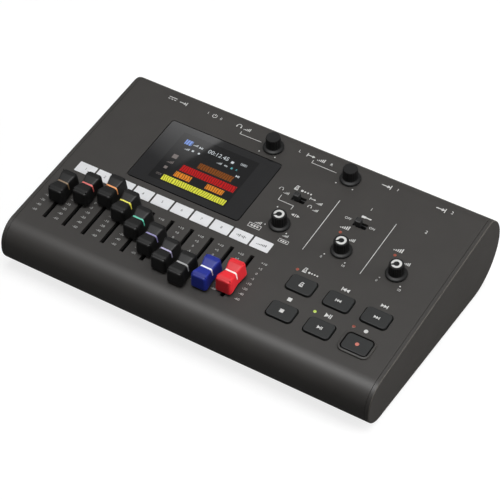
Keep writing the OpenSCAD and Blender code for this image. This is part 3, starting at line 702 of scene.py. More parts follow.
class Pen:
    """Adds printed strokes to the open mesh, about a point and in units of one size."""

    def __init__(self, height, ink, size=1.0, x=0.0, v=0.0):
        self.height, self.ink, self.size, self.x, self.v = height, ink, size * MM, x * MM, v * MM

    def place(self, x, v, turn):
        """Where a stroke lies and how it is turned."""
        spot = (self.x + x * self.size, self.v + v * self.size, self.height)
        return {"location": spot, "rotation": (0, 0, turn)}

    def bar(self, x, v, wide, deep, turn=0.0):
        """A straight bar."""
        bpy.ops.mesh.primitive_cube_add(size=1, scale=(wide * self.size, deep * self.size, 2 * self.ink),
                                        **self.place(x, v, turn))

    def dot(self, x, v, radius, sides=14, turn=0.0):
        """A disc, or a triangle with three sides."""
        bpy.ops.mesh.primitive_cylinder_add(vertices=sides, radius=radius * self.size, depth=2 * self.ink,
                                            **self.place(x, v, turn))

    def bow(self, x, v, radius, first, last, wide, steps=10):
        """An arc of short bars that overlap a little."""
        step = math.radians(last - first) / steps
        for k in range(steps):
            angle = math.radians(first) + (k + 0.5) * step
            self.bar(x + radius * math.cos(angle), v + radius * math.sin(angle), wide,
                     1.15 * radius * abs(step), angle)

    def draw(self, strokes):
        """Strokes, each given as its kind and values."""
        for kind, *values in strokes:
            getattr(self, kind)(*values)


def words(text, x, v, size, height, stretch=1.0):
    """A number or letter as a thin mesh in the panel's own axes, in millimetres but for its height."""
    bare()
    bpy.ops.object.text_add(location=(x * MM, v * MM, height))
    obj = bpy.context.active_object
    obj.scale.x = stretch
    obj.data.body = text
    obj.data.size = size * MM
    obj.data.extrude = 0.01 * MM
    obj.data.resolution_u = 3
    obj.data.align_x = "CENTER"
    obj.data.align_y = "CENTER"
    bpy.ops.object.convert(target="MESH")
    return settle(bpy.context.active_object)


def printed(name, height, ink, marks=(), strokes=(), letters=()):
    """One mesh of symbols, strokes and letters. Symbols and letters are kind or text, x, v and size."""
    bare()
    bpy.ops.mesh.primitive_plane_add(size=1)
    obj = bpy.context.active_object
    editing(obj)
    everything()
    bpy.ops.mesh.delete(type="VERT")
    for kind, x, v, size in marks:
        Pen(height, ink, size, x, v).draw(SYMBOLS[kind])
    Pen(height, ink).draw(strokes)
    bare()
    return join([obj, *[words(*letter, height + ink) for letter in letters]], name)


class RECORDER_OT_top_shell(bpy.types.Operator):
    """Models the upper casing with its nose, openings and the ring round the record button"""

    bl_idname = "recorder.top_shell"
    bl_label = "Top shell"

    stem_hole, lamp_hole, pocket_deep = 3.45 * MM, 1.25 * MM, 1.3 * MM
    switch_wide, switch_deep, switch_shift = 9.6 * MM, 5.2 * MM, 1.5 * MM
    switch_corner, slot_corner, pocket_corner = 0.5 * MM, 0.3 * MM, 2.4 * MM
    ring_foot, ring_edge, ring_corner, ring_inner = -0.2 * MM, 1.1 * MM, 4.7 * MM, 3.4 * MM

    def execute(self, context):
        case, sizes = case_sizes(), control_sizes()
        shell = self.sheet()
        tools = []
        for name in BUTTONS:
            gap = sizes.record_gap if name == "record_button" else sizes.key_gap
            tools.append(opening(panel_spot(name), sizes.key_wide + 2 * gap, sizes.key_deep + 2 * gap,
                                 sizes.key_round + gap))
        tools += [round_opening(panel_spot(name), self.stem_hole) for name in KNOBS]
        for name in SWITCHES:
            x, v = panel_spot(name)
            tools.append(opening((x + self.switch_shift, v), self.switch_wide, self.switch_deep,
                                 self.switch_corner, 3))
        tools += [round_opening(spot, self.lamp_hole, 24) for _, spot in lamp_spots()]
        cut(shell, join(tools, "openings"))
        room = 2 * case.glass_gap
        pocket = rounded_block("pocket", case.glass_wide + room, case.glass_deep + room, -self.pocket_deep,
                               2 * case.wall, self.pocket_corner)
        cut(shell, on_panel(pocket, *window_spot()))
        soften_edges(shell, case.edge, 40)
        places = [(panel_spot(f"fader_cap_{k + 1}")[0], sizes.slot_v) for k in range(FADERS)]
        slots = [opening(spot, sizes.slot_wide, sizes.slot_long, self.slot_corner, 2) for spot in places]
        cut(shell, join(slots, "slots"))
        give(smooth(shell), case_finish(), "case_plastic", "top_shell")
        give(on_panel(self.ring(), *panel_spot("record_button")), case_finish(), "case_plastic")
        return {"FINISHED"}

    def sheet(self):
        """The upper outline run across the case and given its wall inwards."""
        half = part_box("top_shell")[1].x
        shell = draw_outline("top_casing", outline_arcs("top"), -half)
        everything()
        extrude(2 * half)
        face_out()
        panel = max(bmesh.from_edit_mesh(shell.data).faces, key=lambda f: f.calc_area())
        if panel.normal.z < 0:
            bpy.ops.mesh.flip_normals()
        bare()
        return apply_modifier(shell, "SOLIDIFY", thickness=case_sizes().wall, offset=-1.0,
                              use_even_offset=True)

    def ring(self):
        """The raised ring round the record button."""
        case = case_sizes()
        wide, deep, bands, through = case.ring_wide, case.ring_deep, 2 * case.ring_band, 2 * case.wall
        ring = rounded_block("record_ring", wide, deep, self.ring_foot, case.ring_top, self.ring_corner)
        soften(ring, case.ring_top, self.ring_edge, 6)
        cut(ring, rounded_block("tool", wide - bands, deep - bands, -through, through, self.ring_inner))
        return smooth(ring)


class RECORDER_OT_cheeks(bpy.types.Operator):
    """Models the two end cheeks, with the card slot in the left one"""

    bl_idname = "recorder.cheeks"
    bl_label = "Cheeks"

    card_gap = 0.3 * MM

    def execute(self, context):
        case = case_sizes()
        for side, name in ((-1, "left_cheek"), (1, "right_cheek")):
            low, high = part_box(name)
            outer = high.x if side > 0 else low.x
            plate = draw_outline(name + "_plate", outline_arcs("cheek"), outer)
            everything()
            bpy.ops.mesh.edge_face_add()
            extrude(-side * case.cheek)
            face_out()
            pick(plate, "EDGE", lambda e: all(abs(v.co.x - outer) < NEAR for v in e.verts))
            round_edges(case.cheek_edge, 8)
            bare()
            if side < 0:
                low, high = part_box("memory_card")
                gap = Vector((0, self.card_gap, self.card_gap))
                cut(plate, block("slot", Vector((outer - case.cheek, *low.yz)) - gap,
                                 Vector((outer + 2 * case.cheek, *high.yz)) + gap))
            give(smooth(plate), cheek_finish(), "cheek_plastic", name)
        return {"FINISHED"}


class RECORDER_OT_window(bpy.types.Operator):
    """Models the glossy window over the display"""

    bl_idname = "recorder.window"
    bl_label = "Window"

    low, top, corner, edge = -1.2 * MM, 0.2 * MM, 2 * MM, 0.18 * MM

    def execute(self, context):
        case = case_sizes()
        glass = rounded_block("window_glass", case.glass_wide, case.glass_deep, self.low, self.top,
                              self.corner)
        soften(glass, self.top, self.edge)
        material = glass_finish("window_glass", srgb(37, 37, 38), 0.06)
        give(on_panel(smooth(glass), *window_spot()), material, "window_lens", "screen_window")
        return {"FINISHED"}


class RECORDER_OT_screen_picture(bpy.types.Operator):
    """Draws the display's picture: track lanes, counter and small icons"""

    bl_idname = "recorder.screen_picture"
    bl_label = "Screen picture"

    height, ink = 0.2 * MM, 0.02 * MM
    pane_wide, pane_deep, pane_sunk, pane_corner = 60 * MM, 46 * MM, 0.1 * MM, 0.5 * MM
    # Lanes: name, colour and bars, each bar as its middle on the panel, width and depth in millimetres
    lanes = (("yellow", srgb(222, 222, 64), ((-46.3, 91.4, 49.4, 5.0),)),
             ("orange", srgb(223, 132, 30), ((-58.95, 98.0, 12.7, 4.8), (-34.1, 98.2, 13.4, 4.6))),
             ("red", srgb(188, 4, 8), ((-43.2, 104.6, 42.5, 5.8),)),
             ("brown", srgb(130, 68, 4), ((-41.7, 111.8, 26.7, 5.2),)),
             ("blue", srgb(126, 156, 226), ((-72.1, 126.6, 5.6, 4.4),)),
             ("cyan", srgb(90, 170, 176), ((-34.2, 120.4, 1.6, 1.6), (-30.6, 120.6, 1.0, 1.4))))
    # Icons and text: kind or text, middle on the panel and size in millimetres
    icons = (("play", -62.4, 126.2, 1.0), ("level", -66.6, 126.6, 1.0), ("stop", -36.6, 125.2, 1.2),
             ("beats", -42.2, 125.6, 0.55), ("boxed", -28.6, 126.8, 0.7), ("level", -70.0, 120.8, 1.0),
             ("stop", -65.6, 121.2, 0.9), ("record", -60.8, 121.2, 0.9), ("play", -27.2, 115.8, 1.0),
             ("level", -44.0, 120.4, 1.0), ("forward", -39.0, 120.4, 0.8))
    counter = (("00:12.45", -48.2, 126.2, 4.8),)
    dull_icons = (("stop", -73.4, 111.2, 2.2), ("level", -73.6, 105.2, 1.3), ("stop", -73.8, 99.8, 1.4),
                  ("direct", -74.6, 92.6, 1.2))

    def execute(self, context):
        height, ink = self.height, self.ink
        pane = rounded_block("display_pane", self.pane_wide, self.pane_deep, height - self.pane_sunk,
                             height + ink / 2, self.pane_corner, 3)
        give(on_panel(smooth(pane), *panel_spot("display_module")),
             glass_finish("display_pane", srgb(24, 24, 25), 0.1), "display")
        for name, colour, bars in self.lanes:
            lane = printed("lane_" + name, height, ink, strokes=[("bar", *bar) for bar in bars])
            give(on_panel(lane), screen_finish("lane_" + name, colour, comb=0.75), "display")
        for name, colour, icons, letters in (("screen_white", srgb(200, 206, 210), self.icons, self.counter),
                                             ("screen_grey", srgb(120, 112, 110), self.dull_icons, ())):
            marks = printed(name, height, ink, icons, letters=letters)
            give(on_panel(marks), screen_finish(name, colour), "display")
        return {"FINISHED"}


class RECORDER_OT_labels(bpy.types.Operator):
    """Models the write-on cells over the faders and their numbers"""

    bl_idname = "recorder.labels"
    bl_label = "Label cells"

    thick, corner, edge = 0.2 * MM, 0.5 * MM, 0.08 * MM
    # Size of the numbers and step of the ticks in millimetres
    number_size, ticks, tick_step = 3.0, 7, 1.1

    def execute(self, context):
        sizes, pitch = control_sizes(), fader_row()[1]
        x, v = panel_spot("label_strip")
        cell = rounded_block("label_cells", sizes.cell_wide, sizes.cell_deep, 0, self.thick, self.corner, 4)
        soften(cell, self.thick, self.edge, 2)
        in_row(cell, FADERS, pitch)
        card = finish("label_card", colours().label, 0.6, grain=1500, bump=0.15, mottle=0.03, specular=0.3)
        middle = (FADERS - 1) / 2
        give(on_panel(smooth(cell), x - middle * pitch, v), card, "label_white", "label_strip")
        step = pitch / MM
        numbers = [(str(k + 1), (k - middle) * step, 0, self.number_size) for k in range(FADERS - 2)]
        bars = []
        for k in range(self.ticks):
            along = self.tick_step * (k - self.ticks // 2)
            bars.append(("bar", (middle - 1) * step + along, 0, 0.55, 0.7 + 0.9 * (k % 3)))
            bars.append(("bar", middle * step + along, 0.13 * k - 0.7, 0.7, 0.4 + 0.26 * k))
        grey = finish("label_ink", srgb(70, 72, 76), 0.7, grain=2500, bump=0.03, mottle=0.08)
        marks = printed("label_marks", self.thick, sizes.ink, strokes=bars, letters=numbers)
        give(on_panel(marks, x, v), grey, "label_white")
        return {"FINISHED"}


class RECORDER_OT_fader_caps(bpy.types.Operator):
    """Models the waisted fader caps and the coloured line across each"""

    bl_idname = "recorder.fader_caps"
    bl_label = "Fader caps"

    corner, shoulder, middle, waist_fall, end_fall = 2.1 * MM, 7.2 * MM, 5 * MM, 1.8 * MM, 0.7 * MM
    # Shares of the foot's width and length that the waist and the top keep
    waist_foot, waist_top, top_wide, top_long = 5.3 / 6, 4.1 / 6, 5.4 / 6, 10.3 / 10.9
    # How far the line stands out, the height where it narrows and by what share, and where it ends
    line_proud, line_bend, line_narrow, line_end = 0.05 * MM, 9 * MM, 0.45, 6.2 * MM
    line_colours = ((116, 92, 62), (214, 94, 88), (236, 154, 84), (238, 230, 76), (84, 196, 166),
                    (132, 126, 176), (176, 170, 204), (158, 158, 158), (232, 233, 242), (250, 226, 224))

    def execute(self, context):
        tint = colours()
        cap = self.cap()
        line = self.line(cap)
        blacks = cap_finish("cap_black", tint.black, 0.1, 0.09)
        others = {FADERS - 1: cap_finish("cap_blue", tint.blue, 0.05, 0.1),
                  FADERS: cap_finish("cap_red", tint.red, 0.04, 0.1)}
        smooth(cap)
        smooth(line)
        for k, colour in enumerate(self.line_colours, 1):
            skin, spot, body = others.get(k, blacks), panel_spot(f"fader_cap_{k}"), f"fader_{k}"
            slot = skin.name.removesuffix("_finish")
            give(on_panel(twin(cap, f"cap_{k}"), *spot), skin, slot, f"fader_cap_{k}", body=body)
            stripe = finish(f"line_{k}", srgb(*colour), 0.5, grain=2500, bump=0.05, mottle=0.05)
            give(on_panel(twin(line, f"cap_line_{k}"), *spot), stripe, slot, body=body)
        drop(cap)
        drop(line)
        return {"FINISHED"}

    def cap(self):
        """A block drawn in at its waist, narrower at the top and lower at both ends."""
        sizes = control_sizes()
        cap = rounded_block("cap", sizes.cap_wide, sizes.cap_long, sizes.cap_foot, sizes.cap_top,
                            self.corner, 5)

        def reshape(test, wide=1.0, long=1.0, fall=0.0):
            pick(cap, "VERT", test)
            bpy.ops.transform.resize(value=(wide, long, 1))
            bpy.ops.transform.translate(value=(0, 0, -fall))

        editing(cap)
        for y in (-self.shoulder, 0, self.shoulder):
            everything()
            bpy.ops.mesh.bisect(plane_co=(0, y, 0), plane_no=(0, 1, 0))
        beyond = self.shoulder + 0.3 * MM
        reshape(lambda v: abs(v.co.y) < NEAR and v.co.z > self.middle, self.waist_top, fall=self.waist_fall)
        reshape(lambda v: abs(v.co.y) < NEAR and v.co.z < self.middle, self.waist_foot)
        reshape(lambda v: abs(v.co.y) > NEAR and v.co.z > self.middle, self.top_wide, self.top_long)
        reshape(lambda v: abs(v.co.y) > beyond and v.co.z > self.middle, fall=self.end_fall)
        bare()
        return soften_edges(cap, sizes.cap_soft, 20, 3)

    def line(self, cap):
        """A thin slice of the cap at its waist, a little larger, that narrows down both sides."""
        line = twin(cap, "cap_line")
        half = control_sizes().cap_line / 2
        editing(line)
        self.trim(y=half, side=-1)
        self.trim(y=-half)
        face_out()
        bpy.ops.transform.shrink_fatten(value=self.line_proud)
        pick(line, "VERT", lambda v: v.co.z < self.line_bend)
        bpy.ops.transform.resize(value=(1, self.line_narrow, 1))
        self.trim(z=self.line_end)
        bare()
        return line

    def trim(self, y=0.0, z=0.0, side=1):
        """Cuts the open mesh off at y or z and keeps the higher or lower side."""
        everything()
        bpy.ops.mesh.bisect(plane_co=(0, y, z), plane_no=(0, 0, 1) if z else (0, 1, 0), use_fill=True,
                            clear_inner=side > 0, clear_outer=side < 0)


class RECORDER_OT_knobs(bpy.types.Operator):
    """Models the fluted knobs and the white pointer rings"""

    bl_idname = "recorder.knobs"
    bl_label = "Knobs"

    foot, rim, grip, top = 0.5 * MM, 1.3 * MM, 5 * MM, 10.2 * MM
    # Where the flutes begin over the panel and from the axis
    flute_foot, flute_inner = 2.9 * MM, 4.7 * MM
    # Radius and rise of each ring from the skirt's rim to the top
    profile = ((6.9, 0.5), (6.3, 0.25), (5.4, 0.25), (5.15, 0.7), (5.1, 6.5), (4.98, 0.4), (4.7, 0.3))
    pointer_turn = math.radians(36)
    ring_outer, ring_inner, ring_thick = 3.5 * MM, 1.95 * MM, 0.06 * MM
    wedge_long, wedge_half, wedge_tip = 5 * MM, 1.3 * MM, 0.1

    def execute(self, context):
        knob, pointer = self.knob(), self.pointer()
        for name in KNOBS:
            spot = panel_spot(name)
            grip = on_panel(twin(knob, name + "_grip"), *spot)
            give(grip, black_finish(), "knob_plastic", name, body=name)
            if name in POINTED_KNOBS:
                give(on_panel(twin(pointer, name + "_pointer"), *spot, self.pointer_turn), ink_finish(),
                     "knob_plastic", body=name)
        drop(knob)
        drop(pointer)
        return {"FINISHED"}

    def knob(self):
        """A turned skirt and grip, with flutes pressed into the grip."""
        sizes = control_sizes()
        sides = sizes.flutes * 4
        knob = drum("knob", sizes.skirt, self.foot, self.rim, sides)
        editing(knob)
        pick(knob, "FACE", lambda f: f.normal.z > 0.9)
        for radius, rise in self.profile:
            extrude(z=rise * MM)
            now = max(v.co.xy.length for v in bmesh.from_edit_mesh(knob.data).verts if v.select)
            bpy.ops.transform.resize(value=(radius * MM / now, radius * MM / now, 1))
        bpy.ops.mesh.inset(thickness=0.4 * MM)
        bpy.ops.transform.translate(value=(0, 0, 0.02 * MM))
        turn = 2 * math.pi / sides

        def in_flute(vert):
            step = round(math.atan2(vert.co.y, vert.co.x) / turn) % 4
            return step == 0 and vert.co.z > self.flute_foot and vert.co.xy.length > self.flute_inner

        pick(knob, "VERT", in_flute)
        shrink = 1 - sizes.flute / self.grip
        bpy.ops.transform.resize(value=(shrink, shrink, 1))
        pick(knob, "EDGE", lambda e: level(e, self.foot))
        round_edges(0.2 * MM, 2)
        bare()
        return smooth(knob, 32)

    def pointer(self):
        """A thin ring on the knob's top, open towards its pointing side by a wedge."""
        low, high = self.top - 1 * MM, self.top + 1 * MM
        ring = drum("pointer", self.ring_outer, self.top, self.top + self.ring_thick, 64)
        cut(ring, drum("tool", self.ring_inner, low, high))
        wedge = block("tool", (-self.wedge_long, -self.wedge_half, low), (0, self.wedge_half, high))
        editing(wedge)
        pick(wedge, "VERT", lambda v: v.co.x < -self.wedge_half)
        bpy.ops.transform.resize(value=(1, self.wedge_tip, 1))
        bare()
        return smooth(cut(ring, wedge))


class RECORDER_OT_buttons(bpy.types.Operator):
    """Models the push buttons and their symbols"""

    bl_idname = "recorder.buttons"
    bl_label = "Buttons"

    low = -4.8 * MM
    mark_sizes = {"stop": 1.65, "play": 1.3, "record": 1.4, "metronome": 1.3, "rewind": 1.35,
                  "forward": 1.35}

    def execute(self, context):
        sizes = control_sizes()
        key = rounded_block("key", sizes.key_wide, sizes.key_deep, self.low, sizes.key_top, sizes.key_round)
        smooth(soften(key, sizes.key_top, sizes.key_soft, 4))
        skin = finish("button_plastic", colours().button, 0.5, mottle=0.05, specular=0.1)
        red = finish("symbol_red", srgb(184, 84, 62), 0.5, grain=2500, bump=0.04, mottle=0.05)
        for name in BUTTONS:
            spot, kind = panel_spot(name), name.split("_")[0]
            give(on_panel(twin(key, name + "_key"), *spot), skin, "button_plastic", name, body=name)
            mark = printed(kind + "_symbol", sizes.key_top, sizes.ink, [(kind, 0, 0, self.mark_sizes[kind])])
            print_skin = red if kind == "record" else ink_finish()
            give(on_panel(mark, *spot), print_skin, "button_plastic", body=name)
        drop(key)
        return {"FINISHED"}


class RECORDER_OT_switch_nubs(bpy.types.Operator):
    """Models the ridged nubs of the slide switches"""

    bl_idname = "recorder.switch_nubs"
    bl_label = "Switch nubs"

    low, stem, stem_wide, corner, edge = 0.4 * MM, 8.4 * MM, 3.5 * MM, 0.8 * MM, 0.7 * MM
    groove_x, groove_half, groove_deep = 0.8 * MM, 0.2 * MM, 0.35 * MM

    def execute(self, context):
        sizes = control_sizes()
        wide, deep, top = sizes.nub_wide, sizes.nub_deep, sizes.nub_top
        nub = rounded_block("nub", wide, deep, self.low, top, self.corner, 4)
        soften(nub, top, self.edge, 4)
        editing(nub)
        pick(nub, "FACE", lambda f: f.normal.z < -0.9)
        extrude()
        bpy.ops.transform.resize(value=(self.stem_wide / wide, self.stem_wide / deep, 1))
        extrude(z=-self.stem)
        bare()
        grooves = [block("tool", (x - self.groove_half, -deep, top - self.groove_deep),
                         (x + self.groove_half, deep, top + 1 * MM))
                   for x in (-self.groove_x, self.groove_x)]
        smooth(cut(nub, join(grooves, "grooves")))
        skin = finish("nub_black", srgb(26, 26, 26), 0.5, grain=2600, bump=0.1, mottle=0.1, specular=0.2)
        for name in SWITCHES:
            piece = on_panel(twin(nub, name + "_nub"), *panel_spot(name))
            give(piece, skin, "slider_plastic", name, body=name)
        drop(nub)
        return {"FINISHED"}


class RECORDER_OT_lamps(bpy.types.Operator):
    """Models the domed status lamps"""

    bl_idname = "recorder.lamps"
    bl_label = "Status lamps"

    lens_foot, lens_top, lens_edge = -3 * MM, 0.35 * MM, 0.34 * MM
    rim_foot, rim_top, rim_edge, rim_wide, rim_gap = -0.5 * MM, 0.12 * MM, 0.06 * MM, 1.5 * MM, 0.02 * MM

    def execute(self, context):
        radius = control_sizes().lamp
        lens = drum("lens", radius, self.lens_foot, self.lens_top, 32)
        smooth(soften(lens, self.lens_top, self.lens_edge, 4))
        rim = drum("rim", self.rim_wide, self.rim_foot, self.rim_top, 32)
        cut(rim, drum("tool", radius + self.rim_gap, -1 * MM, 1 * MM, 32))
        smooth(soften(rim, self.rim_top, self.rim_edge, 2))
        red = finish("lamp_red", srgb(148, 66, 50), 0.3, grain=900, bump=0.02, mottle=0.1, specular=0.3)
        green = finish("lamp_green", srgb(154, 176, 70), 0.25, grain=900, bump=0.02, mottle=0.06, glow=0.45)
        dull = finish("lamp_rim", srgb(46, 48, 34), 0.5, grain=1800, bump=0.1, mottle=0.1, specular=0.2)
        for name, spot in lamp_spots():
            give(on_panel(twin(lens, name + "_lamp"), *spot), green if name == "play" else red, "lamp_lens",
                 "status_lamps")
            give(on_panel(twin(rim, name + "_lamp_rim"), *spot), dull, "lamp_lens")
        drop(lens)
        drop(rim)
        return {"FINISHED"}


class RECORDER_OT_print(bpy.types.Operator):
    """Prints the symbols, scales and lines on the panel"""

    bl_idname = "recorder.print"
    bl_label = "Panel print"

    # Symbols and text: kind or text, middle on the panel and size in millimetres
    legends = (("direct", -105.0, 157.4, 1.9), ("in", -96.4, 157.0, 1.7), ("power", -70.4, 157.0, 1.5),
               ("phones", -50.6, 157.2, 1.5), ("level", -44.0, 156.6, 1.4), ("out", 6.6, 156.4, 1.7),
               ("level", 14.4, 156.2, 1.6), ("in", 63.4, 157.0, 2.0), ("in", 104.2, 156.4, 2.0),
               ("metronome", 12.8, 126.7, 1.35), ("beats", 20.6, 126.0, 1.7), ("phones", 4.2, 121.4, 1.15),
               ("level", 9.0, 119.2, 1.1), ("out", 27.4, 122.8, 1.25), ("level", 32.8, 121.4, 1.15),
               ("phones", 28.6, 116.4, 1.1), ("level", 33.4, 115.0, 1.1), ("balance", 24.4, 104.8, 1.6),
               ("boxed", 5.8, 83.8, 1.4), ("boxed", 29.0, 81.6, 1.1), ("level", 6.4, 87.6, 1.3),
               ("level", 27.8, 86.2, 1.1), ("level", 57.8, 111.8, 1.8), ("level", 97.4, 111.6, 1.8),
               ("plug", 66.0, 125.7, 1.5), ("level", 66.8, 104.2, 1.4), ("level", 107.4, 103.8, 1.4),
               ("metronome", 53.6, 67.4, 1.4), ("beats", 60.0, 66.8, 1.5), ("rewind", 84.6, 65.8, 1.8),
               ("forward", 111.8, 66.2, 1.6), ("stop", 57.4, 41.6, 1.7), ("play", 84.8, 42.0, 1.7),
               ("record", 111.8, 42.8, 1.5))
    numbers = (("1", 65.3, 133.8, 3.6), ("2", 105.8, 133.8, 3.6), ("1", 72.0, 157.4, 3.4),
               ("2", 112.7, 156.8, 3.4), ("L", -2.4, 156.7, 3.2), ("R", 22.4, 156.0, 3.2),
               ("OFF", 55.6, 119.6, 2.7), ("ON", 73.6, 119.2, 2.7), ("1", -76.0, 157.4, 3.0),
               ("0", -65.2, 156.6, 3.0), ("0", 56.6, 82.4, 2.6), ("10", 72.6, 82.4, 2.6),
               ("0", 97.2, 82.4, 2.6), ("10", 113.4, 82.2, 2.6))
    # Corners of each line, and the dots beside the knobs
    lines = (((7.2, 116.2), (7.2, 111.6), (19.0, 111.6), (19.0, 108.2)),
             ((-46.5, 153.2), (-46.5, 151.0), (-29.8, 151.2)), ((9.8, 153.6), (9.8, 151.3), (28.6, 151.2)),
             ((43.2, 82.0), (43.2, 130.5)), ((85.5, 82.0), (85.5, 130.5)))
    dots = ((-26.7, 143.4), (-14.3, 143.3), (32.9, 143.3), (45.6, 143.2), (10.9, 88.6), (27.2, 88.4),
            (10.2, 105.8), (57.4, 85.4), (72.6, 85.2), (97.8, 85.4), (112.8, 85.2))
    dot_radius = 0.5
    # The scale beside each fader, and how far the outer columns stand from the first and last fader
    scale = (("+10", 58.9), ("+5", 54.1), ("0", 49.4), ("-5", 44.6), ("-10", 39.9), ("-20", 35.1),
             ("-40", 30.4), ("-60", 25.6))
    scale_size, scale_stretch = 2.5, 1.1
    left_column, right_column = -9.7 * MM, 10 * MM

    def execute(self, context):
        sizes = control_sizes()
        wide = sizes.line / MM
        strokes = [self.stroke(wide, Vector(start), Vector(end))
                   for line in self.lines for start, end in zip(line, line[1:])]
        strokes += [("dot", x, v, self.dot_radius) for x, v in self.dots]
        marks = printed("panel_marks", 0, sizes.ink, self.legends, strokes, self.numbers)
        give(on_panel(marks), ink_finish(), "case_plastic")
        first, pitch = fader_row()
        rows = [words(text, 0, v, self.scale_size, sizes.ink, self.scale_stretch) for text, v in self.scale]
        column = join(rows, "column")
        left, right = twin(column, "column_left"), twin(column, "column_right")
        in_row(column, FADERS - 1, pitch)
        for obj, x in ((column, first + pitch / 2), (left, first + self.left_column),
                       (right, first + (FADERS - 1) * pitch + self.right_column)):
            obj.location.x = x
            settle(obj)
        grey = ink_finish("scale_grey", srgb(178, 178, 176))
        give(on_panel(join([column, left, right], "fader_scales")), grey, "case_plastic")
        return {"FINISHED"}

    def stroke(self, wide, start, end):
        """A bar from one point to another that covers both corners."""
        run, middle = end - start, (start + end) / 2
        return ("bar", *middle, run.length + wide, wide, math.atan2(run.y, run.x))


class RECORDER_OT_base(bpy.types.Operator):
    """Finishes the tray, the feet and the battery door with its grip"""

    bl_idname = "recorder.base"
    bl_label = "Base"

    rib_rise, rib_edge = 0.25 * MM, 0.18 * MM
    # How many ribs the grip has, and their size, step and start in millimetres
    ribs, rib_wide, rib_deep, rib_step, first_rib = 6, 26, 0.7, 1.6, 6

    def execute(self, context):
        give(refined("bottom_shell", "base_tray"), base_finish(), "base_plastic", "bottom_shell")
        rubber = finish("foot_rubber", srgb(22, 22, 22), 0.85, grain=1500, bump=0.4, specular=0.25)
        give(refined("feet", "rubber_feet", 0.5 * MM), rubber, "foot_rubber", "feet")
        door = refined("battery_door", "door_leaf", 0.2 * MM)
        low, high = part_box("battery_door")
        x, y = (low.x + high.x) / 2 / MM, low.y / MM + self.first_rib
        bars = [("bar", x, y + self.rib_step * k, self.rib_wide, self.rib_deep) for k in range(self.ribs)]
        grip = soften_edges(printed("grip", low.z, self.rib_rise, strokes=bars), self.rib_edge, 30)
        give(smooth(join([door, grip], "door_leaf")), base_finish(), "base_plastic", "battery_door",
             body="battery_door")
        return {"FINISHED"}


